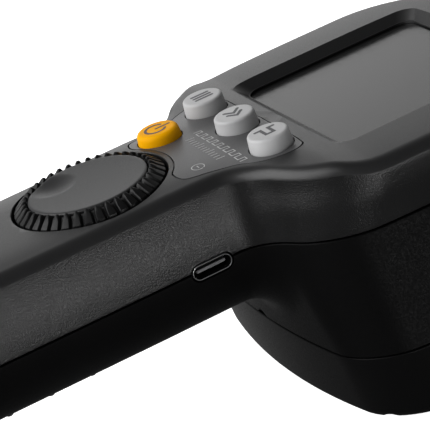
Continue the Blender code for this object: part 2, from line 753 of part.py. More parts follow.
def make_wheel():
    """The jog wheel turns about the vertical axis through (0, 0)."""
    inner = WHEEL_CAP_R + GAP
    lip = WHEEL_CAP_R - 2.0
    step = WHEEL_FLANGE + 1.0
    profile = [
        (inner, WHEEL_TOP - 0.1), (WHEEL_CAP_R + 0.9, WHEEL_TOP), (WHEEL_R, WHEEL_EDGE),
        (WHEEL_R, WHEEL_FLANGE - 1.0), (lip, WHEEL_FLANGE - 1.0), (lip, step), (inner, step),
        (inner, WHEEL_TOP - 0.1),
    ]
    rim = turned("wheel_rim", profile, (0, 0), "wheel_black", steps=WHEEL_TEETH)
    boolean(rim, wheel_grooves())
    cap_bottom = step + GAP
    dish = [(0.0, WHEEL_TOP - 0.3), (WHEEL_CAP_R - 1.5, WHEEL_TOP), (WHEEL_CAP_R, WHEEL_TOP - 0.4)]
    dish += [(WHEEL_CAP_R, cap_bottom), (0.0, cap_bottom)]
    cap = turned("wheel_cap", dish, (0, 0), "wheel_grey", steps=WHEEL_TEETH)
    boolean(cap, finger_dimple())
    top, foot = cap_bottom - GAP, -9.0
    turned("encoder_shaft", [(0, top), (SHAFT_R, top), (SHAFT_R, foot), (0, foot)], (0, 0), "steel", steps=20)
    low, high = (-6.5, -6.5, KEY_BOARD_TOP + GAP), (6.5, 6.5, -5.6)
    body = box("encoder_body", low, high, "plastic_black")
    boolean(body, upright("encoder_bore", SHAFT_R + GAP, 0, 0, foot - 0.6, high[2] + PAST, 20))
    bevel(body, 0.5, 1)


def wheel_grooves():
    """A star of wedges that cuts the finger teeth into the wheel's sloping rim."""
    bm = bmesh.new()
    pitch = 2 * math.pi / WHEEL_TEETH
    tip_radius = WHEEL_CAP_R + 1.3
    low, high = WHEEL_EDGE - 0.4, WHEEL_TOP + 1.2
    half = 0.27
    for i in range(WHEEL_TEETH):
        bottom = []
        for z, radius in ((low, WHEEL_R + 1.2), (high, tip_radius)):
            for side in (-1, 1):
                angle = (i + 0.5 + side * half) * pitch
                bottom.append((radius * math.cos(angle), radius * math.sin(angle), z))
        root = []
        for z, radius in ((low, WHEEL_R - 0.55), (high, tip_radius - 1.75)):
            angle = (i + 0.5) * pitch
            root.append((radius * math.cos(angle), radius * math.sin(angle), z))
        a, b, c, d = (bm.verts.new(p) for p in bottom)
        e, f = (bm.verts.new(p) for p in root)
        for corners in ((a, b, d, c), (a, e, b), (c, d, f), (a, c, f, e), (b, e, f, d)):
            bm.faces.new(corners)
    return finish_mesh("wheel_grooves", bm, None, CUTTERS, smooth=False)


def finger_dimple():
    """The ball that scoops the finger rest out of the wheel's cap."""
    radius = (DIMPLE_R**2 + DIMPLE_DEEP**2) / (2 * DIMPLE_DEEP)
    bm = bmesh.new()
    bmesh.ops.create_uvsphere(bm, u_segments=48, v_segments=40, radius=radius)
    bmesh.ops.translate(bm, verts=bm.verts, vec=(*DIMPLE_XY, WHEEL_TOP + radius - DIMPLE_DEEP))
    return finish_mesh("finger_dimple", bm, None, CUTTERS)


# ---------------------------------------------------------------- socket, battery and lamp


def make_socket():
    x0, x1 = USB_FACE_X - USB_DEEP, USB_FACE_X
    half_y, half_z = USB_WIDE / 2, USB_HIGH / 2
    low, high = (x0, USB_Y - half_y, USB_Z - half_z), (x1, USB_Y + half_y, USB_Z + half_z)
    shell = box("usb_shell", low, high, "steel")
    lengthwise_bevel(shell, half_z * 0.98)
    wall = 0.32
    hole = box(
        "usb_mouth", (x0 + 1.0, USB_Y - half_y + wall, USB_Z - half_z + wall),
        (x1 + 1.0, USB_Y + half_y - wall, USB_Z + half_z - wall),
    )
    lengthwise_bevel(hole, (half_z - wall) * 0.96)
    boolean(shell, hole)
    low, high = (x0 + 1.3, USB_Y - 3.3, USB_Z - 0.35), (x1 - 0.9, USB_Y + 3.3, USB_Z + 0.35)
    box("usb_tongue", low, high, "plastic_black")
    top = USB_Z - half_z - GAP
    box("charge_board", (4.0, 5.0, top - 1.2), (USB_FACE_X - 3.6, 22.0, top), "board_green")


def lengthwise_bevel(obj, width):
    """Rounds only the edges that run across the object, into the socket."""
    weights = obj.data.attributes.new("bevel_weight_edge", "FLOAT", "EDGE")
    for edge in obj.data.edges:
        a, b = (obj.data.vertices[i].co for i in edge.vertices)
        weights.data[edge.index].value = 1.0 if abs((a - b).normalized().x) > 0.9 else 0.0
    step = obj.modifiers.new("round", "BEVEL")
    step.width = width * MM
    step.segments = 4
    step.limit_method = "WEIGHT"


def make_battery():
    back, front = CELL_Y
    cell = cylinder("battery_cell", CELL_R, (0, back, CELL_Z), (0, front, CELL_Z), "cell_blue", 28)
    bevel(cell, 0.5, 1)
    low = HANDLE_BOTTOM + WALL + GAP
    cradle = box("battery_cradle", (-8, back + 3, low), (8, front - 3, CELL_Z - 5.0), "plastic_black")
    bed = cylinder("cell_bed", CELL_R + GAP, (0, back - 2, CELL_Z), (0, front + 2, CELL_Z), segments=28)
    boolean(cradle, bed)


def lamp_plate(name, inset, corner, low, high, look=None):
    """A level plate over the lamp's opening, inset from the lens's outline."""
    outline = rounded_rectangle(LENS_HALF[0] - inset, LENS_HALF[1] - inset, corner, (0.0, LAMP_Y), steps=3)
    return plate(name, outline, low, high, look)


def make_lamp():
    lens = lamp_plate("lamp_lens", 0.0, 7.5, LENS_BOTTOM, LENS_TOP, "lens_clear")
    bevel(lens, 0.3, 1)
    gasket_low = LENS_TOP + GAP
    gasket_high = gasket_low + 1.2
    gasket = lamp_plate("lens_gasket", 0.0, 7.5, gasket_low, gasket_high, "gasket_rubber")
    boolean(gasket, lamp_plate("lens_gasket_hole", 2.0, 5.5, gasket_low - 1, gasket_high + 1))
    low = gasket_high + GAP
    high = low + CUP_HIGH
    array = lamp_plate("reflector_array", 1.0, 6.0, low, high, "reflector_bright")
    led_seat = high + GAP
    board_low = led_seat + 1.6
    board_high = board_low + BOARD_THICK
    board = lamp_plate("led_board", 1.0, 6.0, board_low, board_high, "board_white")
    bevel(board, 0.2, 1)
    for row in range(3):
        for column in range(3):
            x = (column - 1) * LED_PITCH[0]
            y = LAMP_Y + (row - 1) * LED_PITCH[1]
            number = row * 3 + column + 1
            mouth, neck = (x, y, low - 0.8), (x, y, high + 1.0)
            cup = cylinder(f"cup_{number}", CUP_R[0], mouth, neck, segments=20, tip_radius=CUP_R[1])
            boolean(array, cup)
            corner, opposite = (x - 1.75, y - 1.75, led_seat - 0.6), (x + 1.75, y + 1.75, led_seat + 1.3)
            led = box(f"led_{number}", corner, opposite, "led_yellow")
            bevel(led, 0.3, 1)
    make_heat_sink(board_high + GAP)


def make_heat_sink(base):
    half_x, half_y, high, plate_thick = 31.0, 28.0, 12.0, 3.0
    low_corner, high_corner = (-half_x, LAMP_Y - half_y, base), (half_x, LAMP_Y + half_y, base + high)
    sink = box("heat_sink", low_corner, high_corner, "aluminium")
    span, gap = 56.0, 4.8
    for i in range(FIN_COUNT):
        x = -span / 2 + span * (i + 0.5) / FIN_COUNT - gap / 2
        near = (x, LAMP_Y - half_y - 2, base + plate_thick)
        far = (x + gap, LAMP_Y + half_y + 2, base + high + 2)
        boolean(sink, box(f"fin_gap_{i + 1}", near, far))


def make_wires():
    """Leads from the cell to the charging board, and from the main board down to the lamp board."""
    start = CELL_Y[1] + 0.8
    red = [(6.0, start, -15.5), (8.4, -8.0, -16.5), (9.2, 0.0, -18.6), (8.0, 4.4, -20.2)]
    black = [(3.0, start, -25.0), (6.5, -12.0, -25.5), (9.0, 0.0, -23.5), (11.0, 4.2, -20.3)]
    wire("battery_lead_red", red, LEAD_R, "wire_red")
    wire("battery_lead_black", black, LEAD_R, "wire_black")
    for look, x in (("red", -33.2), ("black", -35.6)):
        path = [(x, 70.0, -17.5), (x, 70.4, -24.0), (x, 70.0, -30.0), (x, 70.0, -34.2)]
        wire(f"led_lead_{look}", path, LEAD_R, f"wire_{look}")


clear_scene()
PARTS = new_collection(OBJECT_NAME)
CUTTERS = new_collection("cutters")
CUTTERS.hide_render = True
make_shells()
make_rim()
make_screws()
make_display()
make_label()
make_buttons()
make_key_board()
make_wheel()
make_socket()
make_battery()
make_lamp()
make_wires()
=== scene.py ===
"""Looks for the handheld LED stroboscope: fine versions of its outside pieces, their materials, a camera
and light.

Dimensions are in millimetres from the point where the jog wheel's axis meets the face: X across, +Y towards
the head, Z up out of the face. The frame itself is in metres, with its origin in the middle of the base.
"""

import json
import math

import bmesh
import bpy
import numpy as np
from mathutils import Matrix, Vector
from mathutils.bvhtree import BVHTree


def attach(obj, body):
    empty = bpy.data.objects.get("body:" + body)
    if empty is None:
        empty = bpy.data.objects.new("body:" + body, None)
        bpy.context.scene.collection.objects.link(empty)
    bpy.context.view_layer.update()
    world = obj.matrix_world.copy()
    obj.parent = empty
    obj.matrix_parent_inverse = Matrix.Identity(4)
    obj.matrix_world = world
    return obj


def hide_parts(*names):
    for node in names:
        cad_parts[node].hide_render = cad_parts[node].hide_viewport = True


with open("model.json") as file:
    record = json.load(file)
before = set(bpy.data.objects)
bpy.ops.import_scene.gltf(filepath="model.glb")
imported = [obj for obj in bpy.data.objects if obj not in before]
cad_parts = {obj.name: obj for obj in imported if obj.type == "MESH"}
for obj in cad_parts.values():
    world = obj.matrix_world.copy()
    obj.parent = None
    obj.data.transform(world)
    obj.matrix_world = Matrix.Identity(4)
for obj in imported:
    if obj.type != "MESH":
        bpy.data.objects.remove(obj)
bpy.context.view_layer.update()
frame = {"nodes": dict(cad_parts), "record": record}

MM = 0.001
HANDLE_END = -92.0
HEAD_FRONT = 104.0
RIM_FRONT = 105.0
BASE_Z = -58.4
RIM_TOP = -43.0
SEAM_Z = -17.1
WALL = 2.4
GAP = 0.3
HALF_SEAM = 0.2
RIM_ROUND = 1.8
ORIGIN = Vector((0.0, -(HANDLE_END + RIM_FRONT) / 2.0, -BASE_Z))

# The head's plan outline at five heights: rim base, rim joint, shell joint, wall and face edge
LEVELS = (BASE_Z, RIM_TOP, SEAM_Z, -10.0, -5.0)
HEAD_HALF_WIDTH = (46.0, 45.5, 40.8, 41.7, 41.9)
HEAD_BACK = (28.2, 27.0, 25.3, 25.6, 26.0)
HEAD_CORNER = (12.0, 11.7, 16.0, 19.0, 22.0)
BACK_BOW = (6.5, 5.0, 3.0, 2.7, 2.5)
# How far the sides draw in at the back corners and at the front ones
SIDE_BOW = 2.7
FRONT_BOW = 1.0

HANDLE_LEVELS = (SEAM_Z, -13.0, -9.0, -5.5, -2.2)
HANDLE_HALF_WIDTH = (22.0, 21.7, 21.15, 20.45, 19.7)
HANDLE_BOTTOM = -32.5
HANDLE_ROUND = 13.0
HANDLE_END_ROUND = 16.0
HANDLE_TAPER = 0.014
HANDLE_FRONT = 75.0
NECK_FILLET = 7.2
FACE_FILLET = 3.2
WALL_TILT = 14.0
FACE_EASE = 0.65

FACE_STATIONS = np.array((14.0, 35.0, 40.0, 42.0, 44.0, 52.0))
FACE_HEIGHTS = np.array((0.0, -1.1, -1.4, -2.0, -2.5, -2.8))
HEAD_FACE = FACE_HEIGHTS[-1]

# Columns of the housing's skin run from the spine at these stations, closest in the neck's bend
SPINE_BACK = -70.0
NECK_START = 10.0
NECK_BEND = (17, 27)
NECK_END = 46.0
NECK_TURN = -40.0
SPINE_FRONT = 66.0
HOLLOW_DETAIL = 0.35

# Rows of the skin: shares of the way out to the face's edge, and down the side wall
FACE_SHARES = (0.0, 0.3, 0.55, 0.7, 0.8, 0.88, 0.95)
WALL_SHARES = (0.12, 0.25, 0.38, 0.5, 0.62, 0.75, 0.88, 1.0)
FILLET_ROWS = 8
UNDER_ROWS = 20
SEAM_LIP = 0.22

# Cuts that let a film bend with the face: rows at a pitch, and columns either side of the middle
DRAPE_PITCH = 0.8
DRAPE_HALF = (5.1, 9.1, 12.1, 14.1, 16.1, 18.1, 20.1)
DRAPE_COLUMNS = (*(-x for x in DRAPE_HALF[::-1]), 0.05, *DRAPE_HALF)

WHEEL_HOLE_R = 16.9
WHEEL_R = 16.3
WHEEL_CAP_R = 12.9
WHEEL_TOP = 1.8
GROOVE_TOP = 1.15
GROOVE_GREY_R = 14.1
WHEEL_TEETH = 40
WHEEL_FLANGE = -WALL - GAP - 0.2
DIMPLE = (-6.9, -5.3)
DIMPLE_R = 5.3
DIMPLE_DEEP = 1.0
CAP_SINK = 0.45
CAP_DISH = 0.25
CAP_EDGE = 0.7
DISPLAY_HALF_X = 27.5
DISPLAY_Y = (44.9, 92.4)
DISPLAY_SLOPE = 2.4
DISPLAY_CORNER = 4.2
BUTTON_PITCH = 16.5
BUTTON_Y = 34.8
BUTTON_R = 4.6
BUTTON_TOP = 2.1
KEY_RISE = 3.2
POWER_XY = (-10.4, 21.0)
POWER_R = 4.75
KEY_DRAFT = 0.22
KEY_FLANGE = 0.6
KEY_STEM_R = 2.2
KEY_STEM_FOOT = -8.5
LABEL_RECESS = 0.6
LABEL_THICK = 0.3
LABEL_ARC_R = 18.3
PRINT_RISE = 0.03
USB_Y = 13.1
USB_Z = -17.5
USB_WIDE = 8.94
USB_HIGH = 3.26
USB_FACE_X = 21.9
USB_DEEP = 7.4
LENS_HALF = (35.0, 30.0)
LENS_BOTTOM = -55.4
LENS_LEDGE = 2.2
LAMP_Y = 65.5
WINDOW_LEDGE = 1.2
WINDOW_CORNER = 2.5
WINDOW_THICK = 1.5
RIB_COUNT = 6
RIB_FIRST = -15.1
RIB_PITCH = 9.5
SCREW_HOLE_R = 1.8
SCREW_HEAD_R = 3.1
SCREW_POST_R = 3.8
RIM_SCREWS = [(x, y) for x in (-35.9, 35.9) for y in (36.5, 95.6)]
HANDLE_SCREWS = [(0.0, HANDLE_END + 7.0, 3.0), (0.0, 20.5, 0.0)]

# Welding distances in metres, for the hair-thin gaps that a Boolean leaves
WELD = 2e-6
SLIVER = 1e-6
SHARP_ANGLE = 30.0

CAMERA_PLACE = (427.45, -112.13, 173.68)
CAMERA_AZIMUTH = -17.66
CAMERA_ELEVATION = 23.04
CAMERA_ROLL = -18.39
LENS = 193.9

# The studio's brightness against the cosine of the angle from its brightest direction
STUDIO_BRIGHT = (-0.93, 0.30, 0.17)
STUDIO_STOPS = ((0.5, 0.09), (0.80, 0.5), (0.966, 0.70), (1.0, 1.8))
PANEL_TARGET = (0.0, 20.0, -15.0)
PANEL_DISTANCE = 0.9
FLOOR_HALF = 4.0

# ---- meshes


def to_object(name, bm, sharp=35.0, triangles=False):
    """Scales a bmesh drawn in millimetres into the frame and links it as an object."""
    bmesh.ops.translate(bm, verts=bm.verts, vec=ORIGIN)
    bmesh.ops.scale(bm, verts=bm.verts, vec=(MM, MM, MM))
    if triangles:
        bmesh.ops.triangulate(bm, faces=bm.faces)
    bmesh.ops.recalc_face_normals(bm, faces=bm.faces)
    mesh = bpy.data.meshes.new(name)
    bm.to_mesh(mesh)
    bm.free()
    obj = bpy.data.objects.new(name, mesh)
    bpy.context.scene.collection.objects.link(obj)
    mesh.shade_smooth()
    mesh.set_sharp_from_angle(angle=math.radians(sharp))
    return obj


def band(bm, rows):
    """Joins rows of vertices, each a closed ring, with quads."""
    for upper, lower in zip(rows, rows[1:]):
        for i in range(len(upper)):
            j = (i + 1) % len(upper)
            bm.faces.new([upper[i], upper[j], lower[j], lower[i]])


def fan(bm, row, tip):
    """Closes a ring of vertices with triangles that meet at a tip."""
    tip = bm.verts.new(tip)
    for i in range(len(row)):
        bm.faces.new([row[i], row[(i + 1) % len(row)], tip])


def loft(bm, rings, loop=False):
    """A closed body over rings of points; a loop joins the last ring to the first and has no ends."""
    rows = [[bm.verts.new(p) for p in ring] for ring in rings]
    if loop:
        band(bm, rows + rows[:1])
        return
    band(bm, rows)
    bm.faces.new(rows[0])
    bm.faces.new(rows[-1][::-1])


def revolve(bm, profile, centre=(0.0, 0.0), steps=64):
    """A closed body turned about a vertical axis, its profile starting and ending on the axis."""
    rings = []
    for radius, z in profile[1:-1]:
        rings.append([
            (centre[0] + radius * math.cos(a), centre[1] + radius * math.sin(a), z)
            for a in np.linspace(0, 2 * math.pi, steps, endpoint=False)
        ])
    rows = [[bm.verts.new(p) for p in ring] for ring in rings]
    band(bm, rows)
    fan(bm, rows[0], (*centre, profile[0][1]))
    fan(bm, rows[-1], (*centre, profile[-1][1]))


def rounded_profile(points, radii, steps=5):
    """A profile with its corners rounded by the given radii."""
    out = []
    for i, (point, radius) in enumerate(zip(points, radii)):
        if not radius:
            out.append(point)
            continue
        here = Vector(point)
        back = (Vector(points[i - 1]) - here).normalized()
        ahead = (Vector(points[(i + 1) % len(points)]) - here).normalized()
        pull = radius / math.tan(back.angle(ahead) / 2)
        start, end = here + back * pull, here + ahead * pull
        for step in range(steps + 1):
            t = step / steps
            out.append(tuple((1 - t) ** 2 * start + 2 * t * (1 - t) * here + t * t * end))
    return out


def combine(target, tool, operation="DIFFERENCE"):
    """Cuts or joins a tool into the target for good, and deletes the tool."""
    step = target.modifiers.new(operation.lower(), "BOOLEAN")
    step.operation = operation
    step.object = tool
    step.solver = "EXACT"
    graph = bpy.context.evaluated_depsgraph_get()
    mesh = bpy.data.meshes.new_from_object(target.evaluated_get(graph))
    target.modifiers.clear()
    old, target.data = target.data, mesh
    bpy.data.meshes.remove(old)
    bpy.data.objects.remove(tool, do_unlink=True)
    close_slivers(mesh)


def close_slivers(mesh):
    """Welds the gaps that a Boolean leaves, so that the mesh is closed triangles again."""
    bm = bmesh.new()
    bm.from_mesh(mesh)
    bmesh.ops.remove_doubles(bm, verts=bm.verts, dist=WELD)
    bmesh.ops.dissolve_degenerate(bm, edges=bm.edges, dist=SLIVER)
    bmesh.ops.triangulate(bm, faces=bm.faces)
    bmesh.ops.remove_doubles(bm, verts=bm.verts, dist=WELD)
    torn = [e for e in bm.edges if len(e.link_faces) == 1]
    if torn:
        filled = bmesh.ops.holes_fill(bm, edges=torn, sides=0)
        bmesh.ops.triangulate(bm, faces=filled["faces"])
    bm.to_mesh(mesh)
    bm.free()


def rounded_rectangle(half_x, half_y, radius, centre=(0.0, 0.0), steps=10):
    """An outline with four round corners, as points."""
    points = []
    for corner, (sx, sy) in enumerate(((1, 1), (-1, 1), (-1, -1), (1, -1))):
        for step in range(steps + 1):
            angle = math.radians(90 * (corner + step / steps))
            points.append((
                centre[0] + sx * (half_x - radius) + radius * math.cos(angle),
                centre[1] + sy * (half_y - radius) + radius * math.sin(angle),
            ))
    return points


def plate(name, outline, low, high, skin=None):
    """A flat outline extruded from low to high; one with a skin is draped over it."""
    curve = bpy.data.curves.new(name, "CURVE")
    curve.dimensions = "2D"
    curve.fill_mode = "BOTH"
    curve.extrude = (high - low) / 2
    spline = curve.splines.new("POLY")
    spline.points.add(len(outline) - 1)
    for point, (x, y) in zip(spline.points, outline):
        point.co = (x, y, 0.0, 1.0)
    spline.use_cyclic_u = True
    guide = bpy.data.objects.new(name, curve)
    bpy.context.scene.collection.objects.link(guide)
    graph = bpy.context.evaluated_depsgraph_get()
    mesh = bpy.data.meshes.new_from_object(guide.evaluated_get(graph))
    bpy.data.objects.remove(guide)
    bm = bmesh.new()
    bm.from_mesh(mesh)
    bpy.data.meshes.remove(mesh)
    bmesh.ops.remove_doubles(bm, verts=bm.verts, dist=0.0001)
    bmesh.ops.translate(bm, verts=bm.verts, vec=(0, 0, (low + high) / 2))
    if skin:
        back = min(y for _, y in outline) + DRAPE_PITCH / 3
        front = max(y for _, y in outline)
        for station in np.arange(back, front, DRAPE_PITCH):
            slice_across(bm, (0, station, 0), (0, 1, 0))
        for station in DRAPE_COLUMNS:
            slice_across(bm, (station, 0, 0), (1, 0, 0))
        for vert in bm.verts:
            vert.co.z += surface_height(skin, vert.co.x, vert.co.y)
    return to_object(name, bm, triangles=True)


def slice_across(bm, place, normal):
    """New edges where a plane crosses the mesh, with nothing taken away."""
    everything = bm.verts[:] + bm.edges[:] + bm.faces[:]
    bmesh.ops.bisect_plane(bm, geom=everything, plane_co=place, plane_no=normal)


# ---- the housing's skin


def face_height(y):
    """The face steps down smoothly from the handle to the head."""
    slopes = np.gradient(FACE_HEIGHTS, FACE_STATIONS)
    slopes[0] = slopes[-1] = 0.0
    y = np.clip(y, FACE_STATIONS[0], FACE_STATIONS[-1])
    i = np.clip(np.searchsorted(FACE_STATIONS, y) - 1, 0, len(FACE_STATIONS) - 2)
    span = FACE_STATIONS[i + 1] - FACE_STATIONS[i]
    t = (y - FACE_STATIONS[i]) / span
    start, end = FACE_HEIGHTS[i], FACE_HEIGHTS[i + 1]
    level = start * (2 * t**3 - 3 * t**2 + 1) + end * (3 * t**2 - 2 * t**3)
    return level + span * (slopes[i] * (t**3 - 2 * t**2 + t) + slopes[i + 1] * (t**3 - t**2))


def surface_height(skin, x, y):
    """The height in millimetres of the uncut upper skin, with its easing towards the edge."""
    start = (Vector((x, y, 20.0)) + ORIGIN) * MM
    hit = skin.ray_cast(start, Vector((0, 0, -1)))[0]
    return hit.z / MM - ORIGIN.z if hit else float(face_height(y))


def rounded_corner(a, b, radius):
    """Distance outside the corner between two walls, rounded to radius."""
    inside = np.minimum(np.maximum(a, b) + radius, 0.0)
    return inside + np.hypot(np.maximum(a + radius, 0.0), np.maximum(b + radius, 0.0)) - radius


def filleted_join(a, b, radius):
    """Distance outside two joined bodies, with a fillet between them."""
    bend = np.hypot(np.maximum(radius - a, 0.0), np.maximum(radius - b, 0.0))
    return np.maximum(radius, np.minimum(a, b)) - bend


def head_distance(x, y, z, front=HEAD_FRONT):
    """Distance outside the head, whose sides and ends are bowed."""
    half_width = np.interp(z, LEVELS, HEAD_HALF_WIDTH)
    back = np.interp(z, LEVELS, HEAD_BACK)
    centre = (back + front) / 2
    half_length = (front - back) / 2
    bow = np.where(y > centre, FRONT_BOW, SIDE_BOW) * ((y - centre) / half_length) ** 2
    side = np.abs(x) - (half_width - bow)
    end = np.abs(y - centre) - (half_length - np.interp(z, LEVELS, BACK_BOW) * (x / half_width) ** 2)
    return rounded_corner(side, end, np.interp(z, LEVELS, HEAD_CORNER))


def handle_distance(x, y, z):
    """Distance outside the handle, which narrows towards its end."""
    half_width = np.interp(z, HANDLE_LEVELS, HANDLE_HALF_WIDTH) - HANDLE_TAPER * np.maximum(-y, 0.0)
    section = rounded_corner(np.abs(x) - half_width, HANDLE_BOTTOM - z, HANDLE_ROUND)
    ends = np.maximum(HANDLE_END - y, y - HANDLE_FRONT)
    return rounded_corner(section, ends, HANDLE_END_ROUND)


def skin_distance(x, y, z):
    """Distance outside the whole housing."""
    return filleted_join(head_distance(x, y, z), handle_distance(x, y, z), NECK_FILLET)


def reach(distance, base, heading, far=130.0, rounds=34):
    """Where the skin is met along each heading, from its base point."""
    low = np.zeros(len(base))
    high = np.full(len(base), far)
    for _ in range(rounds):
        middle = (low + high) / 2
        inside = distance(*(base + heading * middle[:, None]).T) < 0
        low = np.where(inside, middle, low)
        high = np.where(inside, high, middle)
    return base + heading * high[:, None]


def skin_columns(detail=1.0):
    """Spine points and headings of the columns round the right side, from the handle's end to the front."""
    def steps(start, end, pitch):
        return np.linspace(start, end, max(2, round(abs(end - start) / pitch * detail) + 1))

    columns = [(SPINE_BACK, a) for a in steps(-90, 0, 4.5)]
    columns += [(y, 0.0) for y in steps(SPINE_BACK, NECK_START, 4.0)[1:]]
    bend_start, bend_end = NECK_BEND
    neck = [*steps(NECK_START, bend_start, 1.0)[1:]]
    neck += [*steps(bend_start, bend_end, 0.4)[1:], *steps(bend_end, NECK_END, 1.0)[1:]]
    columns += [(y, NECK_TURN * (y - NECK_START) / (NECK_END - NECK_START)) for y in neck]
    columns += [(NECK_END, a) for a in steps(NECK_TURN, 0, 1.6)[1:]]
    columns += [(y, 0.0) for y in steps(NECK_END, SPINE_FRONT, 2.5)[1:]]
    columns += [(SPINE_FRONT, a) for a in steps(0, 90, 3.0)[1:]]
    spine = np.array([(0.0, y, 0.0) for y, _ in columns])
    turns = [math.radians(a) for _, a in columns]
    heading = np.array([(math.cos(a), math.sin(a), 0.0) for a in turns])
    heading[np.abs(heading) < 1e-9] = 0.0
    return spine, heading


def at_height(spine, heading, z, inset):
    """Points of the inset skin at a height along each column."""
    def distance(x, y, level):
        return skin_distance(x, y, level) + inset

    return reach(distance, spine + np.array([0, 0, 1.0]) * z[:, None], heading)


def upper_rows(columns, inset, floor, lip):
    """Rows over the right half of the upper shell's form: face, edge fillet and side wall."""
    spine, heading = columns
    count = len(spine)
    fillet = max(FACE_FILLET - inset, 0.3)
    edge = at_height(spine, heading, np.full(count, -FACE_FILLET), inset)
    tilt = math.radians(WALL_TILT)
    drop = FACE_EASE + fillet * (1 - math.sin(tilt))
    wall_top = at_height(spine, heading, face_height(edge[:, 1]) - inset - drop, inset)
    rows = []
    for step in range(FILLET_ROWS, -1, -1):
        angle = tilt + (math.pi / 2 - tilt) * step / FILLET_ROWS
        row = wall_top - heading * fillet * (math.cos(tilt) - math.cos(angle))
        row[:, 2] = face_height(row[:, 1]) - inset - FACE_EASE - fillet * (1 - math.sin(angle))
        rows.append(row)
    first = rows[0]
    inner = []
    for share in FACE_SHARES:
        row = spine * (1 - share) + first * share
        row[:, 2] = face_height(row[:, 1]) - inset - FACE_EASE * share**4
        inner.append(row)
    lowest = rows[-1][:, 2]
    for share in WALL_SHARES:
        rows.append(at_height(spine, heading, lowest + (floor + lip * 2 - lowest) * share, inset))
    if lip:
        rows.append(at_height(spine, heading, np.full(count, floor + lip * 0.6), inset + lip * 0.15))
        rows.append(at_height(spine, heading, np.full(count, floor), inset + lip))
    last = spine.copy()
    last[:, 2] = floor
    return inner + rows + [last]


def lower_rows(columns, inset, top, floor, lip):
    """Rows over the right half of the lower shell's form, from the joint down to the floor."""
    spine, heading = columns
    count = len(spine)

    def distance(x, y, z):
        return skin_distance(x, y, z) + inset

    centre = spine + np.array([0, 0, SEAM_Z])
    down = np.array([0.0, 0.0, -1.0])
    first = spine.copy()
    first[:, 2] = top
    rows = [first]
    if lip:
        rows.append(at_height(spine, heading, np.full(count, top), inset + lip))
        rows.append(at_height(spine, heading, np.full(count, top - lip * 0.6), inset + lip * 0.15))
    rows.append(at_height(spine, heading, np.full(count, top - lip * 2), inset))
    rim = reach(distance, spine + np.array([0, 0, floor]), heading)
    across = np.linalg.norm((rim - spine)[:, :2], axis=1)
    lowest = np.minimum(np.arctan2(SEAM_Z - floor, across), math.radians(86))
    reached = np.linalg.norm((rows[-1] - spine)[:, :2], axis=1)
    highest = np.arctan2(SEAM_Z - (top - lip * 2), reached)
    for step in range(1, UNDER_ROWS + 1):
        angle = (highest + (lowest - highest) * step / UNDER_ROWS)[:, None]
        ray = heading * np.cos(angle) + down * np.sin(angle)
        rows.append(clip_to_floor(reach(distance, centre, ray), centre, floor))
    hit = reach(distance, centre, np.tile(down, (count, 1)))
    rows.append(clip_to_floor(hit, centre, floor))
    return rows


def clip_to_floor(hit, centre, floor):
    """Points below the floor come back up their ray to it."""
    drop = centre[:, 2] - hit[:, 2]
    share = np.where(hit[:, 2] < floor, (centre[:, 2] - floor) / np.maximum(drop, 1e-6), 1.0)
    return centre + (hit - centre) * share[:, None]


def mirrored_body(name, rows):
    """One closed body from the rows of its right half."""
    bm = bmesh.new()
    for side in (1, -1):
        grid = [[bm.verts.new((side * p[0], p[1], p[2])) for p in row] for row in rows]
        for upper, lower in zip(grid, grid[1:]):
            for i in range(len(upper) - 1):
                corners = [upper[i], upper[i + 1], lower[i + 1], lower[i]]
                bm.faces.new(corners if side > 0 else corners[::-1])
    bmesh.ops.remove_doubles(bm, verts=bm.verts, dist=0.0015)
    bmesh.ops.dissolve_degenerate(bm, edges=bm.edges, dist=0.0015)
    return to_object(name, bm, triangles=True)


def smooth_outline(points, steps=4):
    """Catmull-Rom points round a closed outline."""
    points = [np.array(p) for p in points]
    out = []
    for i in range(len(points)):
        p0, p1, p2, p3 = (points[(i + k) % len(points)] for k in (-1, 0, 1, 2))
        for step in range(steps):
            t = step / steps
            curl, twist = 2 * p0 - 5 * p1 + 4 * p2 - p3, 3 * p1 - p0 - 3 * p2 + p3
            out.append(tuple(0.5 * (2 * p1 + (p2 - p0) * t + curl * t**2 + twist * t**3)))
    return out


def label_outline(gap=0.0):
    """The printed film round the keys: a shield whose lower edge runs round the wheel."""
    arc_radius = LABEL_ARC_R + gap
    right = [(21.5 - gap, 39.3 - gap), (22.6 - gap, 38.1 - gap), (22.9 - gap, 36.2), (22.3 - gap, 32.8)]
    right += [(20.6 - gap, 29.2), (18.0 - gap, 25.8), (16.3 - gap, 20.5)]
    right += [(15.7 - gap, 17.6), (14.9 - gap, 15.7 + gap), (13.2, 14.9 + gap * 1.2)]
    start = math.degrees(math.atan2(right[-1][1], right[-1][0])) + 6
    lower = [
        (arc_radius * math.cos(math.radians(a)), arc_radius * math.sin(math.radians(a)))
        for a in np.linspace(start, 180 - start, 9)
    ]
    left = [(-x, y) for x, y in reversed(right)]
    top = [(x, 40.3 - gap - 0.0013 * x * x) for x in (-19.6, -12.0, 0.0, 12.0, 19.6)]
    return smooth_outline((right + lower + left + top)[::-1])


def key_places():
    """Name, x, y and radius of each push button."""
    row = (("left", -BUTTON_PITCH), ("centre", 0.0), ("right", BUTTON_PITCH))
    keys = [(f"{side}_button", x, BUTTON_Y, BUTTON_R) for side, x in row]
    return [("power_button", *POWER_XY, POWER_R), *keys]


# ---- cutters


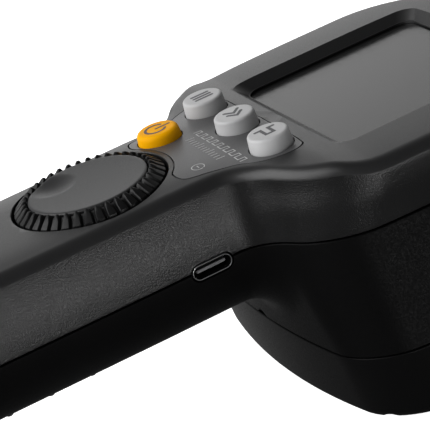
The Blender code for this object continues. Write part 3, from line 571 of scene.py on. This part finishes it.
def display_cutter():
    """The window opening: sloping walls with a softened edge and a narrow ledge at their foot."""
    half_y = (DISPLAY_Y[1] - DISPLAY_Y[0]) / 2
    centre = (0.0, (DISPLAY_Y[0] + DISPLAY_Y[1]) / 2)
    # height above the head's face, and how much larger than the opening the ring is there
    levels = [(3.0, 4.0), (0.3, 0.75), (0.05, 0.32), (-0.12, 0.08), (-0.35, -0.3)]
    foot = DISPLAY_SLOPE + 0.02
    levels += [(-2.15, -2.1), (-2.2, -2.16), (-2.2, -foot), (-WALL - 1.5, -foot)]
    bm = bmesh.new()
    rings = []
    for z, grow in levels:
        corner = DISPLAY_CORNER + max(grow, -0.5)
        ring = rounded_rectangle(DISPLAY_HALF_X + grow, half_y + grow, corner, centre)
        rings.append([(x, y, HEAD_FACE + z) for x, y in ring])
    loft(bm, rings)
    return to_object("display_cutter", bm, triangles=True)


def face_holes(name, places, soft):
    """Round holes with softened edges as one cutter; each place is x, y, radius and face height."""
    bm = bmesh.new()
    for x, y, radius, face in places:
        profile = [
            (0.0, 4.0), (radius + soft, 4.0), (radius + soft, face + 0.02),
            (radius + soft * 0.55, face - 0.04), (radius + soft * 0.15, face - soft * 0.5),
            (radius, face - soft), (radius, -9.0), (0.0, -9.0),
        ]
        revolve(bm, profile, (x, y), 96)
    return to_object(name, bm, triangles=True)


def stadium(half_y, half_z, steps=10):
    """A slot outline with round ends, in the Y-Z plane."""
    run = half_y - half_z
    points = []
    for side in (1, -1):
        for step in range(steps + 1):
            angle = math.radians(-90 + 180 * step / steps)
            points.append((side * (run + half_z * math.cos(angle)), side * half_z * math.sin(angle)))
    return points


def in_socket(name, levels, **shading):
    """A body along the socket, from a list of places across the housing and the outlines there."""
    bm = bmesh.new()
    loft(bm, [[(x, USB_Y + y, USB_Z + z) for y, z in outline] for x, outline in levels])
    return to_object(name, bm, **shading)


def socket_cutter():
    """The slot for the charging socket, flared a little at the wall's outside."""
    half_y, half_z = USB_WIDE / 2 + GAP, USB_HIGH / 2 + GAP
    levels = ((-5.0, 0.0), (-0.25, 0.0), (0.05, 0.16), (3.0, 0.3))
    rings = [(USB_FACE_X + out, stadium(half_y + grow, half_z + grow)) for out, grow in levels]
    return in_socket("socket_cutter", rings, triangles=True)


# ---- housing pieces


def make_upper():
    """The upper housing, and its skin from before the holes are cut, for draping the film."""
    upper = mirrored_body("upper_housing", upper_rows(skin_columns(), 0.0, SEAM_Z + HALF_SEAM, SEAM_LIP))
    skin = BVHTree.FromObject(upper, bpy.context.evaluated_depsgraph_get())
    hollow = mirrored_body("hollow", upper_rows(skin_columns(HOLLOW_DETAIL), WALL, SEAM_Z - 3.0, 0.0))
    combine(upper, plate("label_recess", label_outline(-GAP), -LABEL_RECESS, 3.0, skin))
    combine(upper, hollow)
    combine(upper, display_cutter())
    combine(upper, face_holes("wheel_hole", [(0.0, 0.0, WHEEL_HOLE_R, 0.0)], 0.35))
    keys = [(x, y, r + GAP, float(face_height(y)) - LABEL_RECESS) for _, x, y, r in key_places()]
    combine(upper, face_holes("key_holes", keys, 0.08))
    combine(upper, socket_cutter())
    return upper, skin


def make_lower():
    """The lower housing with its grip ribs, screw posts and the wells of the two handle screws."""
    top, floor = SEAM_Z - HALF_SEAM, RIM_TOP + HALF_SEAM
    lower = mirrored_body("lower_housing", lower_rows(skin_columns(), 0.1, top, floor, SEAM_LIP))
    inside = lower_rows(skin_columns(HOLLOW_DETAIL), WALL, SEAM_Z + 3.0, RIM_TOP - 3.0, 0.0)
    combine(lower, mirrored_body("hollow", inside))
    bm = bmesh.new()
    for i in range(RIB_COUNT):
        rib(bm, RIB_FIRST - RIB_PITCH * i)
    for x, y, lift in HANDLE_SCREWS:
        head = SEAM_Z - 0.4
        foot = HANDLE_BOTTOM + lift + 1.2
        revolve(bm, [(0, head), (SCREW_POST_R, head), (SCREW_POST_R, foot), (0, foot)], (x, y), 32)
    combine(lower, to_object("ribs_and_posts", bm, triangles=True), "UNION")
    bm = bmesh.new()
    for x, y, lift in HANDLE_SCREWS:
        foot = HANDLE_BOTTOM + lift
        profile = [
            (0, -10), (SCREW_HOLE_R, -10), (SCREW_HOLE_R, foot + 3.2), (SCREW_HEAD_R, foot + 3.2),
            (SCREW_HEAD_R, foot - 5), (0, foot - 5),
        ]
        revolve(bm, profile, (x, y), 32)
    combine(lower, to_object("screw_wells", bm, triangles=True))
    combine(lower, socket_cutter())
    return lower


def rib(bm, y, half=12.0, radius=1.25, rise=0.8):
    """A rounded ridge across the underside of the handle."""
    rings = []
    for angle in np.radians(np.linspace(-88, 88, 17)):
        x = math.copysign(max(half - radius, 0), angle) * (abs(angle) > 0.01) + radius * math.sin(angle)
        size = radius * math.cos(angle)
        rings.append([
            (x, y + size * math.cos(a), HANDLE_BOTTOM + rise + size * math.sin(a))
            for a in np.linspace(0, 2 * math.pi, 16, endpoint=False)
        ])
    loft(bm, rings)


def make_rim():
    """The lamp rim: outer wall, rounded foot, lens opening and lens seat as one closed ring."""
    angles = np.radians(np.arange(0, 360, 2.0))
    heading = np.c_[np.cos(angles), np.sin(angles), 0 * angles]

    def outer(z, pull):
        def distance(x, y, level):
            return head_distance(x, y, level, RIM_FRONT) + pull

        return reach(distance, np.tile((0.0, LAMP_Y, z), (len(angles), 1)), heading)

    def inner(z, grow, radius):
        """A ring that is larger than the lens by grow on each side."""
        def distance(x, y, _):
            side, end = np.abs(x) - (LENS_HALF[0] + grow), np.abs(y - LAMP_Y) - (LENS_HALF[1] + grow)
            return rounded_corner(side, end, radius)

        return reach(distance, np.tile((0.0, LAMP_Y, z), (len(angles), 1)), heading)

    top = RIM_TOP - HALF_SEAM
    foot = BASE_Z + RIM_ROUND
    rings = [outer(top, 0.25), outer(top - 0.1, 0.08), outer(top - 0.3, 0.0)]
    rings += [outer(top + (foot - top) * share, 0.0) for share in (0.33, 0.66, 1.0)]
    for step in range(1, FILLET_ROWS + 1):
        angle = math.radians(90 * step / FILLET_ROWS)
        rings.append(outer(foot - RIM_ROUND * math.sin(angle), RIM_ROUND * (1 - math.cos(angle))))
    seat_z = LENS_BOTTOM - GAP
    rings += [inner(BASE_Z, 0.6 - LENS_LEDGE, 7.6), inner(BASE_Z + 0.15, 0.2 - LENS_LEDGE, 7.2)]
    rings += [inner(BASE_Z + 0.6, -LENS_LEDGE, 7.0), inner(seat_z, -LENS_LEDGE, 7.0)]
    rings += [inner(seat_z, 0.5, 8.0), inner(top, 0.5, 8.0)]
    bm = bmesh.new()
    loft(bm, rings, loop=True)
    rim = to_object("lamp_rim_ring", bm, triangles=True)
    bm = bmesh.new()
    for x, y in RIM_SCREWS:
        profile = [
            (0, RIM_TOP + 3), (SCREW_HOLE_R, RIM_TOP + 3), (SCREW_HOLE_R, BASE_Z + 2.6),
            (SCREW_HEAD_R, BASE_Z + 2.6), (SCREW_HEAD_R, BASE_Z + 0.3), (SCREW_HEAD_R + 0.3, BASE_Z),
            (SCREW_HEAD_R + 0.3, BASE_Z - 3), (0, BASE_Z - 3),
        ]
        revolve(bm, profile, (x, y), 32)
    combine(rim, to_object("rim_wells", bm, triangles=True))
    return rim


# ---- wheel, keys, film and window


def make_wheel_rim():
    """The wheel's sloping rim with its finger teeth: blocks with narrow open grooves between them."""
    root = WHEEL_CAP_R + GAP
    seat_r = WHEEL_CAP_R - 2
    seat_z, foot_z = WHEEL_FLANGE + 1.0, WHEEL_FLANGE - 1.0
    # (radius, height) of a tooth and of the groove beside it, down the toothed side
    section = [
        ((root, 1.25), (root, 0.85)), ((root + 0.1, 1.7), (root + 0.1, 0.9)),
        ((root + 0.35, 1.85), (root + 0.3, 0.88)), ((root + 0.75, 1.72), (root + 0.6, 0.7)),
        ((14.9, 0.85), (14.5, 0.1)), ((16.05, 0.0), (15.55, -0.7)), ((16.25, -0.2), (15.7, -0.95)),
        ((WHEEL_R, -0.5), (15.8, -1.3)),
    ]
    # the plain rest of the section, round the flange and up to the cap's seat
    plain = ((WHEEL_R, -2.3), (WHEEL_R, foot_z), (seat_r, foot_z), (seat_r, seat_z), (root, seat_z))
    section += [(place, place) for place in plain]
    # angle, in tooth pitches from the groove's middle, and share of the groove's depth there
    cuts = (
        (-0.24, 0.0), (-0.19, 0.12), (-0.07, 0.95), (0.0, 1.0), (0.07, 0.95), (0.19, 0.12), (0.24, 0.0),
    )
    rings = []
    for (tooth_r, tooth_z), (groove_r, groove_z) in section:
        # the grooves open out towards the cap, so each tooth ends in a point there
        spread = float(np.interp(tooth_r, (root + 0.1, root + 0.9, 15.2), (1.95, 1.5, 0.85)))
        ring = []
        for i in range(WHEEL_TEETH):
            for t, share in (*cuts, (0.5 / spread, -0.03)):
                angle = 2 * math.pi * (i + t * spread) / WHEEL_TEETH
                radius = tooth_r + (groove_r - tooth_r) * share
                height = tooth_z + (groove_z - tooth_z) * share
                ring.append((radius * math.cos(angle), radius * math.sin(angle), height))
        rings.append(ring)
    bm = bmesh.new()
    loft(bm, rings, loop=True)
    return to_object("wheel_teeth", bm, sharp=28)


def make_wheel_cap():
    """The wheel's smooth top: a shallow dish with a round finger dimple near its edge."""
    steps = 128
    edge = CAP_EDGE * np.array((0.7, 0.45, 0.25, 0.1, 0.0))
    radii = [*np.linspace(0, WHEEL_CAP_R - CAP_EDGE, 42), *(WHEEL_CAP_R - edge)]
    bm = bmesh.new()
    rings = []
    for radius in radii[1:]:
        ring = []
        for angle in np.linspace(0, 2 * math.pi, steps, endpoint=False):
            x, y = radius * math.cos(angle), radius * math.sin(angle)
            ring.append((x, y, cap_height(x, y, radius)))
        rings.append(ring)
    bottom = WHEEL_FLANGE + 1.0 + GAP
    rings.append([(x, y, 0.8) for x, y, _ in rings[-1]])
    rings.append([(x, y, bottom) for x, y, _ in rings[-1]])
    rows = [[bm.verts.new(p) for p in ring] for ring in rings]
    band(bm, rows)
    fan(bm, rows[0], (0, 0, cap_height(0.0, 0.0, 0.0)))
    bm.faces.new(rows[-1][::-1])
    return to_object("wheel_disc", bm)


def cap_height(x, y, radius):
    """Height of the cap's top: a slight dish, a rounded edge and the dimple."""
    height = WHEEL_TOP - CAP_SINK + CAP_DISH * (radius / WHEEL_CAP_R) ** 2
    rim = max(radius - (WHEEL_CAP_R - CAP_EDGE), 0.0) / CAP_EDGE
    height -= CAP_SINK * (1 - math.sqrt(max(1 - rim * rim, 0.0)))
    away = math.hypot(x - DIMPLE[0], y - DIMPLE[1]) / DIMPLE_R
    if away < 1:
        height -= DIMPLE_DEEP * (1 - away**2) ** 1.6
    return height


def key_top(name, y):
    """Height of a button's top, at its place along the face."""
    return BUTTON_TOP if name == "power_button" else float(face_height(y)) + KEY_RISE


def make_key(name, x, y, radius):
    """A push button: a rounded top, a flange under the face and a stem down to its switch."""
    face = float(face_height(y))
    top = key_top(name, y)
    flange_r = radius + KEY_FLANGE
    flange_top, flange_foot = face - WALL - GAP - 0.2, face - WALL - GAP - 1.0
    corners = [
        (0.0, top), (radius - KEY_DRAFT, top), (radius, face), (radius, flange_top),
        (flange_r, flange_top), (flange_r, flange_foot), (KEY_STEM_R, flange_foot),
        (KEY_STEM_R, KEY_STEM_FOOT), (0.0, KEY_STEM_FOOT),
    ]
    radii = [0.0] * len(corners)
    radii[1] = 1.25 if name == "power_button" else 0.75
    bm = bmesh.new()
    revolve(bm, rounded_profile(corners, radii, steps=8), (x, y), 64)
    return to_object(name.replace("button", "key"), bm, sharp=50)


def stroke(points, width, steps=6):
    """The outline of a line of even width with round ends, along open points."""
    points = [Vector(p) for p in points]
    left, right = [], []
    for i, point in enumerate(points):
        ahead = points[min(i + 1, len(points) - 1)] - point
        behind = point - points[max(i - 1, 0)]
        ahead = ahead.normalized() if ahead.length else behind.normalized()
        behind = behind.normalized() if behind.length else ahead
        along = (ahead + behind).normalized()
        normal = Vector((-along.y, along.x))
        stretch = 1 / max(along.dot(ahead), 0.5)
        left.append(point + normal * width / 2 * stretch)
        right.append(point - normal * width / 2 * stretch)
    out = []
    front_end = (points[-1], points[-1] - points[-2], left)
    back_end = (points[0], points[0] - points[1], right[::-1])
    for tip, towards, side in (front_end, back_end):
        out += side
        start = math.atan2(towards.y, towards.x) + math.pi / 2
        for step in range(1, steps):
            angle = start - math.pi * step / steps
            out.append(tip + Vector((math.cos(angle), math.sin(angle))) * width / 2)
    return [(p.x, p.y) for p in out]


def arc(centre, radius, start, end, steps=28):
    """Points along an arc, between two angles in degrees."""
    return [
        (centre[0] + radius * math.cos(math.radians(a)), centre[1] + radius * math.sin(math.radians(a)))
        for a in np.linspace(start, end, steps)
    ]


def join_pieces(name, objects):
    """One object from several separate marks."""
    bm = bmesh.new()
    for obj in objects:
        bm.from_mesh(obj.data)
        bpy.data.objects.remove(obj, do_unlink=True)
    mesh = bpy.data.meshes.new(name)
    bm.to_mesh(mesh)
    bm.free()
    whole = bpy.data.objects.new(name, mesh)
    bpy.context.scene.collection.objects.link(whole)
    return whole


def marks(name, lines, width, low, high, skin=None):
    """Thin raised lines as one piece."""
    outlines = [stroke(line, width) for line in lines]
    parts = [plate(f"{name}_{i}", outline, low, high, skin) for i, outline in enumerate(outlines)]
    return join_pieces(name, parts)


def key_marks(name, x, y):
    """Plain pictograms: a power sign, three bars, two chevrons and a pulse."""
    top = key_top(name, y)
    drawings = {
        "power_button": [arc((0, -0.3), 2.2, 126, 414), [(0, -0.1), (0, 2.9)]],
        "left_button": [[(dx, -1.9), (dx, 1.9)] for dx in (-1.3, 0.0, 1.3)],
        "centre_button": [[(-1.6, -1.5), (0.0, 0.1), (-1.6, 1.7)], [(0.2, -1.5), (1.8, 0.1), (0.2, 1.7)]],
        "right_button": [
            [(-1.5, -2.1), (-1.5, -0.9), (1.5, -0.9), (1.5, 0.9), (-1.5, 0.9), (-1.5, 2.1)],
        ],
    }
    lines = [[(x + px, y + py) for px, py in line] for line in drawings[name]]
    width = 0.62 if name == "power_button" else 0.72
    return marks(name.replace("button", "sign"), lines, width, top - 0.1, top + PRINT_RISE)


def make_film(skin):
    """The keypad's film, with round holes for the keys."""
    film = plate("key_film", label_outline(), -LABEL_THICK, 0.0, skin)
    bm = bmesh.new()
    for _, x, y, radius in key_places():
        revolve(bm, [(0, 4), (radius + GAP, 4), (radius + GAP, -9), (0, -9)], (x, y), 48)
    combine(film, to_object("film_holes", bm, triangles=True))
    return film


def film_marks(skin):
    """Printed marks on the film: a pulse train, a row of ticks and a ring."""
    pulse = []
    pulse_low, pulse_high, pulse_wide = 27.0, 28.6, 1.1
    for i in range(9):
        start = -5.6 + 2.75 * i
        end = start + pulse_wide
        pulse += [(start, pulse_low), (start, pulse_high), (end, pulse_high), (end, pulse_low)]
    lines = [pulse]
    tick_foot, tick_end, long_tick_end = 24.0, 25.4, 25.9
    for i in range(13):
        x = -3.2 + 1.3 * i
        lines.append([(x, tick_foot), (x, tick_end if i % 4 else long_tick_end)])
    x, y = 12.4, 19.8
    lines += [arc((x, y), 1.35, 40, 400, 20)[:-1], [(x - 0.5, y), (x + 0.5, y)]]
    return marks("film_print", lines, 0.2, 0.0, PRINT_RISE, skin)


def make_window():
    """The display's window: a flat pane with a fine bevel round its top, behind the opening."""
    centre = (0.0, (DISPLAY_Y[0] + DISPLAY_Y[1]) / 2)
    half_x = DISPLAY_HALF_X + WINDOW_LEDGE
    half_y = (DISPLAY_Y[1] - DISPLAY_Y[0]) / 2 + WINDOW_LEDGE
    top = HEAD_FACE - WALL - GAP
    bm = bmesh.new()
    rings = []
    for z, pull in ((top, 0.25), (top - 0.08, 0.08), (top - 0.25, 0.0), (top - WINDOW_THICK, 0.0)):
        outline = rounded_rectangle(half_x - pull, half_y - pull, WINDOW_CORNER - pull, centre)
        rings.append([(x, y, z) for x, y in outline])
    loft(bm, rings)
    return to_object("display_glass", bm, sharp=5)


def make_socket():
    """The socket's metal shell, a round-ended tube with a rolled lip and a closed back, and its tongue."""
    half_y, half_z, wall = USB_WIDE / 2, USB_HIGH / 2, 0.22
    back, front = USB_FACE_X - USB_DEEP, USB_FACE_X
    # place along the socket, and how far the ring is drawn in there
    stations = [
        (back, 0.15), (back + 0.15, 0.0), (front - 0.1, 0.0), (front - 0.03, 0.05), (front, 0.12),
        (front, wall - 0.1), (front - 0.05, wall - 0.02), (front - 0.12, wall), (back + 1.0, wall),
    ]
    tube = [(x, stadium(half_y - pull, half_z - pull, 14)) for x, pull in stations]
    half_wide, half_thick, corner = 3.3, 0.35, 0.16
    stations = ((back + 1.3, 0.1), (front - 1.15, 0.0), (front - 0.98, 0.04), (front - 0.9, 0.16))
    bar = [
        (x, rounded_rectangle(half_wide - pull, half_thick - pull, corner, steps=4)) for x, pull in stations
    ]
    return in_socket("socket_shell", tube, sharp=40), in_socket("socket_tongue", bar, sharp=40)


# ---- materials


def shader_nodes(name):
    """A new material, its node tree and its shader."""
    found = bpy.data.materials.new(name)
    found.use_nodes = True
    tree = found.node_tree
    return found, tree, tree.nodes["Principled BSDF"]


def noise(tree, scale, detail):
    """A noise pattern fixed to the object."""
    node = tree.nodes.new("ShaderNodeTexNoise")
    node.inputs["Scale"].default_value = scale
    node.inputs["Detail"].default_value = detail
    tree.links.new(coordinates(tree), node.inputs["Vector"])
    return node.outputs["Fac"]


def coordinates(tree):
    """The tree's one source of object coordinates."""
    node = tree.nodes.get("place") or tree.nodes.new("ShaderNodeTexCoord")
    node.name = "place"
    return node.outputs["Object"]


def ranged(tree, value, low, high):
    """Noise, which mostly lies between 0.3 and 0.7, stretched to run from low to high."""
    node = tree.nodes.new("ShaderNodeMapRange")
    node.inputs["From Min"].default_value = 0.3
    node.inputs["From Max"].default_value = 0.7
    node.inputs["To Min"].default_value = low
    node.inputs["To Max"].default_value = high
    tree.links.new(value, node.inputs["Value"])
    return node.outputs["Result"]


def blend_colour(tree, share, first, second):
    """A colour between two others."""
    node = tree.nodes.new("ShaderNodeMix")
    node.data_type = "RGBA"
    # a Mix node's colours are its inputs 6 and 7 and its output 2
    node.inputs[6].default_value = (*first, 1.0)
    node.inputs[7].default_value = (*second, 1.0)
    tree.links.new(share, node.inputs[0])
    return node.outputs[2]


def surface(
    name, colour, roughness, metallic=0.0, specular=0.5, grain=2600.0, height=0.02, mottle=0.12,
    patch=70.0, rough_spread=0.06, coat=0.0, transmission=0.0,
):
    """A moulded or machined surface: uneven colour and gloss over a grain of the given height in mm."""
    found, tree, shader = shader_nodes(name)
    shader.inputs["Metallic"].default_value = metallic
    shader.inputs["Specular IOR Level"].default_value = specular
    shader.inputs["Transmission Weight"].default_value = transmission
    shader.inputs["Coat Weight"].default_value = coat
    shader.inputs["Coat Roughness"].default_value = 0.1
    fine = noise(tree, grain, 2.0)
    broad = noise(tree, patch, 4.0)
    dark = tuple(c * (1 - mottle) for c in colour)
    light = tuple(min(c * (1 + mottle), 1.0) for c in colour)
    mottled = blend_colour(tree, ranged(tree, broad, 0.0, 1.0), dark, light)
    tree.links.new(mottled, shader.inputs["Base Color"])
    rough = ranged(tree, fine, roughness - rough_spread, roughness + rough_spread)
    tree.links.new(rough, shader.inputs["Roughness"])
    bump = tree.nodes.new("ShaderNodeBump")
    bump.inputs["Strength"].default_value = 1.0
    bump.inputs["Distance"].default_value = height * MM
    tree.links.new(fine, bump.inputs["Height"])
    tree.links.new(bump.outputs["Normal"], shader.inputs["Normal"])
    return found


LOOKS = {
    "face": surface(
        "face_satin", (0.012, 0.012, 0.0125), 0.40, grain=5200, height=0.0035, mottle=0.06),
    "side": surface(
        "side_grained", (0.005, 0.005, 0.0052), 0.34, specular=0.45, grain=3500, height=0.065, mottle=0.25),
    "lower_shell": surface("lower_matt", (0.0016, 0.0016, 0.0017), 0.45, specular=0.10, grain=2300),
    "lamp_rim": surface("rim_matt", (0.0016, 0.0016, 0.0017), 0.42, specular=0.14, grain=3000, height=0.012),
    "wheel_rim": surface("teeth_black", (0.005, 0.005, 0.0053), 0.4, specular=0.25, grain=3500, height=0.01),
    "wheel_cap": surface("disc_satin", (0.012, 0.012, 0.013), 0.45, grain=5200, height=0.004, mottle=0.05),
    "key_grey": surface(
        "key_grey", (0.49, 0.49, 0.495), 0.5, specular=0.35, grain=3200, height=0.01, mottle=0.05),
    "key_orange": surface(
        "key_orange", (1.0, 0.43, 0.0), 0.5, specular=0.06, grain=3200, height=0.01, mottle=0.06),
    "label_film": surface("film_satin", (0.075, 0.075, 0.077), 0.4, grain=5200, height=0.003, mottle=0.05),
    "display_window": surface(
        "window_gloss", (0.004, 0.004, 0.0041), 0.17, grain=900, height=0.0004, mottle=0.03,
        rough_spread=0.03),
    "usb_steel": surface("socket_steel", (0.95, 0.95, 0.96), 0.35, metallic=1.0, grain=4200, height=0.004),
    # painted shade: near-black for the socket's inside, standing in for the shadow in the slot
    "socket_dark": surface(
        "socket_dark", (0.004, 0.004, 0.004), 0.5, specular=0.05, grain=4200, height=0.004),
    "usb_tongue": surface("socket_tongue_grey", (0.14, 0.14, 0.145), 0.45, grain=4200, height=0.004),
    "sign_dark": surface("sign_dark", (0.055, 0.055, 0.06), 0.5, grain=4200, height=0.003),
    "sign_power": surface("sign_power", (0.10, 0.055, 0.04), 0.5, grain=4200, height=0.003),
    "print_white": surface("print_white", (0.5, 0.5, 0.5), 0.5, grain=4200, height=0.003),
    "lamp_lens": surface(
        "lens_clear", (0.90, 0.92, 0.93), 0.04, grain=900, height=0.0005, mottle=0.04, rough_spread=0.01,
        transmission=0.95),
    "gasket": surface("gasket_rubber", (0.014, 0.014, 0.014), 0.8, height=0.03),
    "reflector": surface(
        "reflector_bright", (0.85, 0.85, 0.86), 0.12, metallic=1.0, grain=1400, height=0.004, mottle=0.03),
    "board_green": surface("board_green", (0.015, 0.12, 0.05), 0.4, grain=900, mottle=0.25, patch=260),
    "board_white": surface("board_white", (0.70, 0.71, 0.70), 0.45, grain=900, height=0.01, mottle=0.05),
    "led": surface("led_yellow", (0.80, 0.66, 0.18), 0.3, grain=1500, height=0.01, coat=0.6),
    "heat_sink": surface("sink_aluminium", (0.60, 0.61, 0.63), 0.4, metallic=1.0, grain=1800, height=0.015),
    "steel": surface("screw_steel", (0.52, 0.52, 0.53), 0.3, metallic=1.0, height=0.008),
    "inner_plastic": surface("inner_plastic", (0.016, 0.016, 0.017), 0.5, grain=2300),
    "cell_wrap": surface("cell_wrap", (0.03, 0.10, 0.32), 0.35, grain=1800, height=0.01, coat=0.3),
    "wire_red": surface("wire_red", (0.50, 0.015, 0.012), 0.45, height=0.01),
    "wire_black": surface("wire_black", (0.014, 0.014, 0.014), 0.5, height=0.01),
}


def dress(obj, *looks):
    """Gives an object these finishes and no others."""
    obj.data.materials.clear()
    for look in looks:
        obj.data.materials.append(LOOKS[look])


def paint_upper(obj):
    """Smooth face and edge fillet, grained side walls."""
    dress(obj, "face", "side")
    drop = FACE_EASE + FACE_FILLET * (1 - math.sin(math.radians(WALL_TILT)))
    for polygon in obj.data.polygons:
        centre = polygon.center / MM - ORIGIN
        below = centre.z < float(face_height(centre.y)) - drop - 0.2
        polygon.material_index = 1 if below and abs(polygon.normal.z) < 0.8 else 0


def paint_teeth(obj):
    """Black teeth; the floors of the grooves beside the cap have the cap's finish."""
    dress(obj, "wheel_rim", "wheel_cap")
    for polygon in obj.data.polygons:
        centre = polygon.center / MM - ORIGIN
        by_cap = WHEEL_CAP_R < math.hypot(centre.x, centre.y) < GROOVE_GREY_R
        polygon.material_index = 1 if by_cap and centre.z < GROOVE_TOP else 0


def paint_socket(obj):
    """Bright steel outside and lip; the inside is painted near-black, a painted shade for the shadow inside
    the slot.
    """
    dress(obj, "usb_steel", "socket_dark")
    for polygon in obj.data.polygons:
        centre = polygon.center / MM - ORIGIN
        # faces that look into the tube, behind the lip, take the near-black painted shade
        inwards = polygon.normal.y * (centre.y - USB_Y) + polygon.normal.z * (centre.z - USB_Z) < -0.2
        polygon.material_index = 1 if inwards and centre.x < USB_FACE_X - 0.1 else 0


def finish(obj, look, body, slot, *nodes):
    dress(obj, look)
    settle(obj, body, slot, *nodes)


def settle(obj, body, slot, *nodes):
    """Puts the piece on the body it rides on and hides the CAD nodes it stands for; the slot argument is not
    used.
    """
    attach(obj, body)
    if nodes:
        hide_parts(*nodes)


def weight_normals(obj):
    """Shading that follows the large faces, not the small ones beside them."""
    step = obj.modifiers.new("even_shading", "WEIGHTED_NORMAL")
    step.keep_sharp = True
    step.weight = 100


def smooth_again(obj):
    """Smooth shading between sharp edges, which a Boolean loses."""
    obj.data.shade_smooth()
    obj.data.set_sharp_from_angle(angle=math.radians(SHARP_ANGLE))


# ---- assembly


def build():
    skin = build_housing()
    build_wheel()
    build_keys()
    build_film(skin)
    finish(make_window(), "display_window", "housing", "display_window", "display_window")
    shell, tongue = make_socket()
    paint_socket(shell)
    settle(shell, "housing", "steel", "usb_shell")
    finish(tongue, "usb_tongue", "housing", "inner_plastic", "usb_tongue")
    dress_carried_over()


def build_housing():
    """The two shells and the lamp rim; gives back the skin to drape the film over."""
    upper, skin = make_upper()
    smooth_again(upper)
    paint_upper(upper)
    weight_normals(upper)
    settle(upper, "housing", "upper_shell", "upper_shell")
    for name, make in (("lower_shell", make_lower), ("lamp_rim", make_rim)):
        obj = make()
        smooth_again(obj)
        weight_normals(obj)
        finish(obj, name, "housing", name, name)
    return skin


def build_wheel():
    teeth = make_wheel_rim()
    paint_teeth(teeth)
    settle(teeth, "jog_wheel", "wheel_rim", "wheel_rim")
    finish(make_wheel_cap(), "wheel_cap", "jog_wheel", "wheel_cap", "wheel_cap")


def build_keys():
    for name, x, y, radius in key_places():
        body = name.replace("button", "key")
        power = name == "power_button"
        look = "key_orange" if power else "key_grey"
        finish(make_key(name, x, y, radius), look, body, look, name)
        finish(key_marks(name, x, y), "sign_power" if power else "sign_dark", body, look)


def build_film(skin):
    film = make_film(skin)
    smooth_again(film)
    finish(film, "label_film", "housing", "label_film", "keypad_label")
    finish(film_marks(skin), "print_white", "housing", "label_film")


def dress_carried_over():
    """The inner CAD nodes get the finish of their material slot."""
    for part in frame["record"]["subparts"]:
        if part["material_slot"] in LOOKS:
            mesh = frame["nodes"][part["node"]].data
            look = LOOKS[part["material_slot"]]
            if not mesh.materials:
                mesh.materials.append(look)
            for i in range(len(mesh.materials)):
                mesh.materials[i] = look


# ---- camera, floor and light


def make_camera():
    camera = bpy.data.objects.new("camera", bpy.data.cameras.new("camera"))
    bpy.context.scene.collection.objects.link(camera)
    azimuth, elevation = math.radians(CAMERA_AZIMUTH), math.radians(CAMERA_ELEVATION)
    level = Vector((math.cos(azimuth), math.sin(azimuth), 0.0))
    back = level * math.cos(elevation) + Vector((0.0, 0.0, math.sin(elevation)))
    right = Matrix.Rotation(math.radians(CAMERA_ROLL), 3, back) @ Vector((-level.y, level.x, 0.0))
    turn = Matrix((right, back.cross(right), back)).transposed().to_4x4()
    place = (Vector(CAMERA_PLACE) + ORIGIN) * MM
    camera.matrix_world = Matrix.Translation(place) @ turn
    camera.data.lens = LENS
    camera.data.clip_start = 0.01
    camera.data.clip_end = 20.0
    bpy.context.scene.camera = camera


def make_floor():
    """A plain white floor, left out of reflections so that the dark lower shell stays dark."""
    mesh = bpy.data.meshes.new("floor")
    corners = [(x * FLOOR_HALF, y * FLOOR_HALF, 0) for x, y in ((-1, -1), (1, -1), (1, 1), (-1, 1))]
    mesh.from_pydata(corners, [], [(0, 1, 2, 3)])
    floor = bpy.data.objects.new("floor", mesh)
    bpy.context.scene.collection.objects.link(floor)
    found, _, shader = shader_nodes("floor_white")
    shader.inputs["Base Color"].default_value = (0.85, 0.85, 0.85, 1.0)
    shader.inputs["Roughness"].default_value = 0.9
    shader.inputs["Specular IOR Level"].default_value = 0.0
    shader.inputs["Emission Color"].default_value = (1.0, 1.0, 1.0, 1.0)
    shader.inputs["Emission Strength"].default_value = 0.95
    mesh.materials.append(found)
    floor.visible_glossy = False


def panel(name, direction, size, power):
    """A soft rectangular light that faces the middle of the object."""
    data = bpy.data.lights.new(name, "AREA")
    data.shape = "RECTANGLE"
    data.size, data.size_y = size
    data.energy = power
    light = bpy.data.objects.new(name, data)
    direction = Vector(direction).normalized()
    target = (Vector(PANEL_TARGET) + ORIGIN) * MM
    light.location = target + direction * PANEL_DISTANCE
    light.rotation_euler = direction.to_track_quat("Z", "Y").to_euler()
    light.visible_camera = False
    bpy.context.scene.collection.objects.link(light)


def make_light():
    """A studio that is brightest low behind the object's left side, and two soft panels."""
    world = bpy.data.worlds.new("studio")
    bpy.context.scene.world = world
    world.use_nodes = True
    tree = world.node_tree
    background = tree.nodes["Background"]
    place = tree.nodes.new("ShaderNodeTexCoord")
    towards = tree.nodes.new("ShaderNodeVectorMath")
    towards.operation = "DOT_PRODUCT"
    towards.inputs[1].default_value = Vector(STUDIO_BRIGHT).normalized()
    ramp = tree.nodes.new("ShaderNodeValToRGB")
    ramp.color_ramp.interpolation = "EASE"
    stops = ramp.color_ramp.elements
    stops.remove(stops[-1])
    for number, (cosine, level) in enumerate(STUDIO_STOPS):
        stop = stops.new(cosine) if number else stops[0]
        stop.position = cosine
        stop.color = (level, level, level, 1.0)
    tree.links.new(place.outputs["Generated"], towards.inputs[0])
    tree.links.new(towards.outputs["Value"], ramp.inputs["Fac"])
    tree.links.new(ramp.outputs["Color"], background.inputs["Color"])
    panel("end_panel", (-0.10, -0.80, 0.60), (1.2, 0.9), 12.0)
    panel("side_panel", (0.97, 0.10, -0.09), (0.85, 0.10), 4.2)


make_camera()
make_floor()
make_light()
build()
bpy.context.scene.view_settings.view_transform = "Standard"
bpy.context.view_layer.update()
